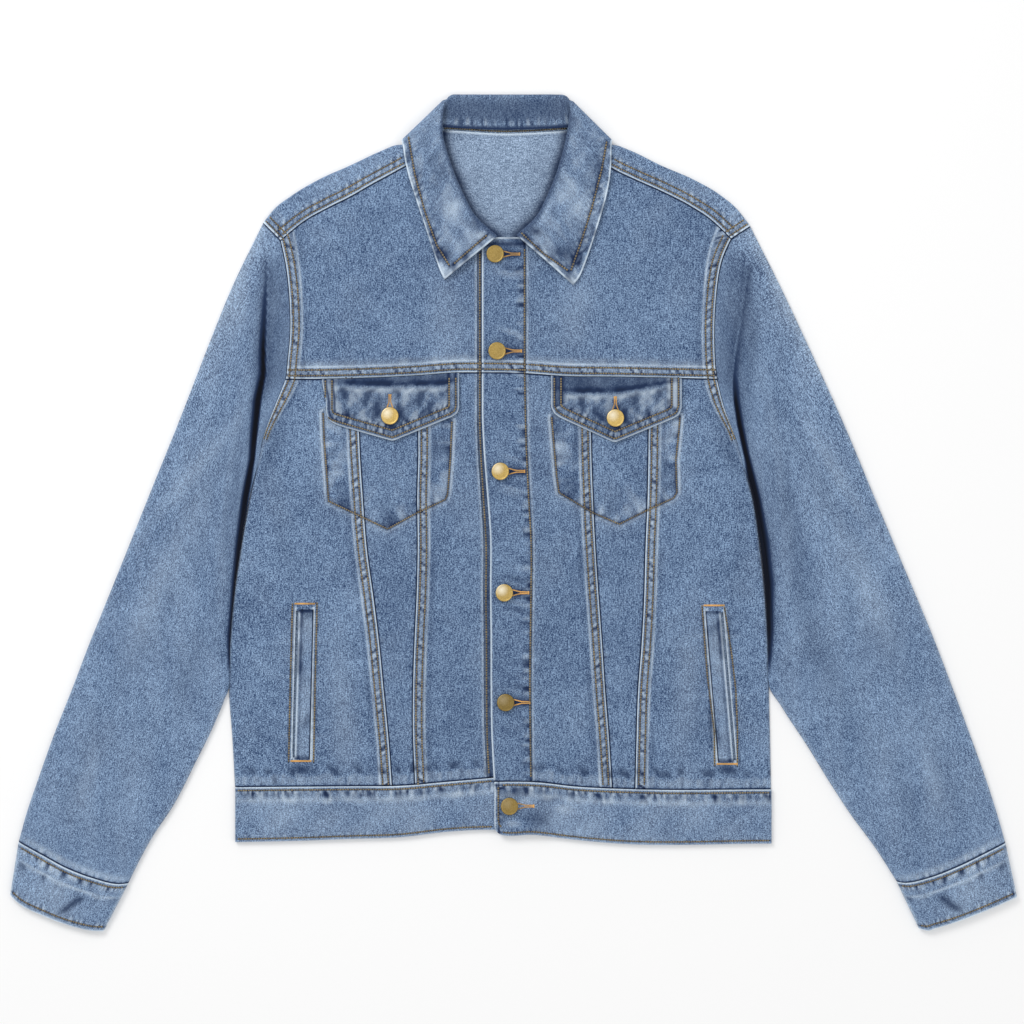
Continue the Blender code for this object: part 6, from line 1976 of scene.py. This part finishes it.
def build_brass(tree, shader, brightness, highlight_strength):
    settings = bpy.context.scene.jacket_sewing
    place = node(tree, "ShaderNodeTexCoord").outputs["Object"]
    value = noise(tree, place, 0.0014, 3.0, roughness=0.65)
    # Brightness paints this button lighter or darker, as painted light and shade
    red, green, blue = (min(1.0, channel * brightness) for channel in settings.button_colour)
    brass = ramp(tree, value, 0.32, (red * 0.70, green * 0.66, blue * 0.55), 0.66, (red, green, blue))
    # A painted highlight: paler towards a spot up and to the left of the centre
    highlight_spot = node(tree, "ShaderNodeVectorMath", operation="DISTANCE")
    tree.links.new(place, highlight_spot.inputs[0])
    highlight_spot.inputs[1].default_value = (-0.0026, 0.0028, 0.0026)
    near = math_node(tree, "MULTIPLY", highlight_spot.outputs["Value"], 145.0)
    near = math_node(tree, "SUBTRACT", 1.0, near, clamp=True)
    pale = node(tree, "ShaderNodeRGB")
    pale.outputs[0].default_value = (0.96, 0.88, 0.68, 1.0)
    highlight_share = math_node(tree, "MULTIPLY", near, highlight_strength * 1.6, clamp=True)
    tree.links.new(mix_colour(tree, highlight_share, brass, pale.outputs[0]), shader.inputs["Base Color"])
    rough = math_node(tree, "ADD", math_node(tree, "MULTIPLY", value, 0.25), 0.34)
    tree.links.new(rough, shader.inputs["Roughness"])
    shader.inputs["Metallic"].default_value = 1.0
    add_bump(tree, shader, value, 0.35, 0.0003)


def brass_material(name, brightness, highlight_strength):
    return shaded(name, build_brass, brightness, highlight_strength)


# ---------------------------------------------------------------- stage

FLOOR_REACH = 3.0  # in metres, as the heights of the lights and the camera
FLOOR_DROP = 0.0003
CAMERA_PLACE = (-0.0015, 0.00056)


def make_stage():
    scene = bpy.context.scene
    settings = scene.jacket_stage
    corners = np.array([(-1.0, -1.0), (1.0, -1.0), (1.0, 1.0), (-1.0, 1.0)]) * FLOOR_REACH
    mesh = quad_mesh("floor", xyz(corners[:, 0], corners[:, 1], -FLOOR_DROP), np.array([[0, 1, 2, 3]]))
    surface = {"Roughness": 0.9, "Specular_IOR_Level": 0.1}
    paint = shaded("pale_floor", lambda *made: build_plain(*made, settings.floor_colour, **surface))
    add_object("floor", mesh, paint)
    world = bpy.data.worlds.new("soft_room")
    world.use_nodes = True
    set_inputs(world.node_tree.nodes["Background"], Color=(1.0, 1.0, 1.0, 1.0), Strength=settings.room_light)
    scene.world = world
    for name, place, size, power in (
        ("key_light", (-1.3, 1.5, 1.7), 1.2, settings.key_light),
        ("fill_light", (1.6, -0.9, 2.2), 2.0, 0.35 * settings.key_light),
    ):
        lamp = bpy.data.lights.new(name, "AREA")
        lamp.shape = "DISK"
        lamp.size = size
        lamp.energy = power
        holder = add_object(name, lamp)
        holder.location = place
        holder.rotation_euler = Vector(place).to_track_quat("Z", "Y").to_euler()
    lens = bpy.data.cameras.new("camera")
    lens.lens = 85.0
    lens.sensor_width = 36.0
    camera = add_object("camera", lens)
    camera.location = (*CAMERA_PLACE, settings.camera_height)
    scene.camera = camera
    scene.view_settings.view_transform = "Standard"


# ---------------------------------------------------------------- add-on

class JacketCloth(bpy.types.PropertyGroup):
    light: bpy.props.FloatVectorProperty(
        name="Light Denim", description="Colour of the paler flecks", subtype="COLOR", size=3,
        default=CLOTH_COLOURS["washed_denim"][0], min=0.0, max=1.0,
    )
    dark: bpy.props.FloatVectorProperty(
        name="Dark Denim", description="Colour of the darker flecks", subtype="COLOR", size=3,
        default=CLOTH_COLOURS["washed_denim"][1], min=0.0, max=1.0,
    )
    worn_colour: bpy.props.FloatVectorProperty(
        name="Worn Colour", description="Colour of rubbed edges", subtype="COLOR", size=3,
        default=WORN, min=0.0, max=1.0,
    )
    wear: bpy.props.FloatProperty(
        name="Wear", description="How strongly edges and ridges are rubbed", subtype="FACTOR",
        default=1.0, min=0.0, max=2.0,
    )
    # Depth scales all the darkening: deeper dye, painted shade and painted shadow alike
    depth: bpy.props.FloatProperty(
        name="Depth", description="How dark the dye stays in troughs", subtype="FACTOR",
        default=1.0, min=0.0, max=2.0,
    )
    fleck: bpy.props.FloatProperty(
        name="Fleck", description="Contrast of the weave's flecks", subtype="FACTOR",
        default=1.0, min=0.0, max=2.0,
    )


class JacketSewing(bpy.types.PropertyGroup):
    thread_colour: bpy.props.FloatVectorProperty(
        name="Thread Colour", description="Colour of the topstitching", subtype="COLOR", size=3,
        default=(0.27, 0.215, 0.125), min=0.0, max=1.0,
    )
    buttonhole_colour: bpy.props.FloatVectorProperty(
        name="Buttonhole Colour", description="Colour of the buttonholes' thread", subtype="COLOR", size=3,
        default=(0.85, 0.48, 0.15), min=0.0, max=1.0,
    )
    button_colour: bpy.props.FloatVectorProperty(
        name="Button Colour", description="Colour of the buttons' metal", subtype="COLOR", size=3,
        default=(0.58, 0.42, 0.15), min=0.0, max=1.0,
    )


class JacketStage(bpy.types.PropertyGroup):
    floor_colour: bpy.props.FloatVectorProperty(
        name="Floor Colour", description="Colour of the surface it lies on", subtype="COLOR", size=3,
        default=(0.93, 0.93, 0.93), min=0.0, max=1.0,
    )
    room_light: bpy.props.FloatProperty(
        name="Room Light", description="Strength of the light all round", default=0.75, min=0.0,
    )
    key_light: bpy.props.FloatProperty(
        name="Key Light", description="Power of the main soft lamp", subtype="POWER", unit="POWER",
        default=28.0, min=0.0,
    )
    camera_height: bpy.props.FloatProperty(
        name="Camera Height", description="How high the camera stands over the surface", subtype="DISTANCE",
        unit="LENGTH", default=2.277, min=0.5,
    )


class JACKET_OT_back(bpy.types.Operator):
    """Adds the back body and the back yoke"""

    bl_idname = "jacket.back"
    bl_label = "Back"

    def execute(self, context):
        make_back_body()
        make_back_yoke()
        return {"FINISHED"}


class JACKET_OT_fronts(bpy.types.Operator):
    """Adds the front panels, the front yokes and the plackets"""

    bl_idname = "jacket.fronts"
    bl_label = "Fronts"

    def execute(self, context):
        make_fronts()
        return {"FINISHED"}


class JACKET_OT_sleeves(bpy.types.Operator):
    """Adds both sleeves and their cuffs"""

    bl_idname = "jacket.sleeves"
    bl_label = "Sleeves"

    def execute(self, context):
        for half in SIDES:
            make_sleeve(half)
            make_cuff(half)
        return {"FINISHED"}


class JACKET_OT_bands(bpy.types.Operator):
    """Adds the waistband and the collar"""

    bl_idname = "jacket.bands"
    bl_label = "Waistband and Collar"

    def execute(self, context):
        make_waistband()
        make_collar()
        return {"FINISHED"}


class JACKET_OT_pockets(bpy.types.Operator):
    """Adds the chest flaps and the hand pockets' welts"""

    bl_idname = "jacket.pockets"
    bl_label = "Pockets"

    def execute(self, context):
        for number, half in enumerate(SIDES):
            make_flap(half, 81 + 5 * number)
            make_welt(half, 91 + 5 * number)
        return {"FINISHED"}


class JACKET_OT_sewing(bpy.types.Operator):
    """Adds topstitching, bar tacks and buttonholes"""

    bl_idname = "jacket.sewing"
    bl_label = "Sewing"

    def execute(self, context):
        for sew in (sew_fronts, sew_pockets, sew_flaps, sew_shoulders, sew_bands, sew_buttonholes):
            sew()
        return {"FINISHED"}


class JACKET_OT_buttons(bpy.types.Operator):
    """Adds the eight brass buttons"""

    bl_idname = "jacket.buttons"
    bl_label = "Buttons"

    def execute(self, context):
        make_buttons()
        return {"FINISHED"}


class JACKET_OT_stage(bpy.types.Operator):
    """Adds the floor, the lights and the camera"""

    bl_idname = "jacket.stage"
    bl_label = "Stage"

    def execute(self, context):
        make_stage()
        return {"FINISHED"}


OPERATORS = (
    JACKET_OT_back, JACKET_OT_fronts, JACKET_OT_sleeves, JACKET_OT_bands, JACKET_OT_pockets, JACKET_OT_sewing,
    JACKET_OT_buttons, JACKET_OT_stage,
)


class JACKET_PT_panel(bpy.types.Panel):
    """Settings of the jacket and one button for each part of it"""

    bl_label = "Denim Jacket"
    bl_idname = "JACKET_PT_panel"
    bl_space_type = "VIEW_3D"
    bl_region_type = "UI"
    bl_category = "Jacket"

    def draw(self, context):
        for group in (context.scene.jacket_cloth, context.scene.jacket_sewing, context.scene.jacket_stage):
            for name in group.__annotations__:
                self.layout.prop(group, name)
        for operator in OPERATORS:
            self.layout.operator(operator.bl_idname)


GROUPS = (("jacket_cloth", JacketCloth), ("jacket_sewing", JacketSewing), ("jacket_stage", JacketStage))


def register():
    for name, group in GROUPS:
        bpy.utils.register_class(group)
        setattr(bpy.types.Scene, name, bpy.props.PointerProperty(type=group))
    for operator in OPERATORS:
        bpy.utils.register_class(operator)
    bpy.utils.register_class(JACKET_PT_panel)


def unregister():
    bpy.utils.unregister_class(JACKET_PT_panel)
    for operator in reversed(OPERATORS):
        bpy.utils.unregister_class(operator)
    for name, group in reversed(GROUPS):
        delattr(bpy.types.Scene, name)
        bpy.utils.unregister_class(group)


def main():
    register()
    for operator in OPERATORS:
        family, name = operator.bl_idname.split(".")
        getattr(getattr(bpy.ops, family), name)()


if __name__ == "__main__":
    main()
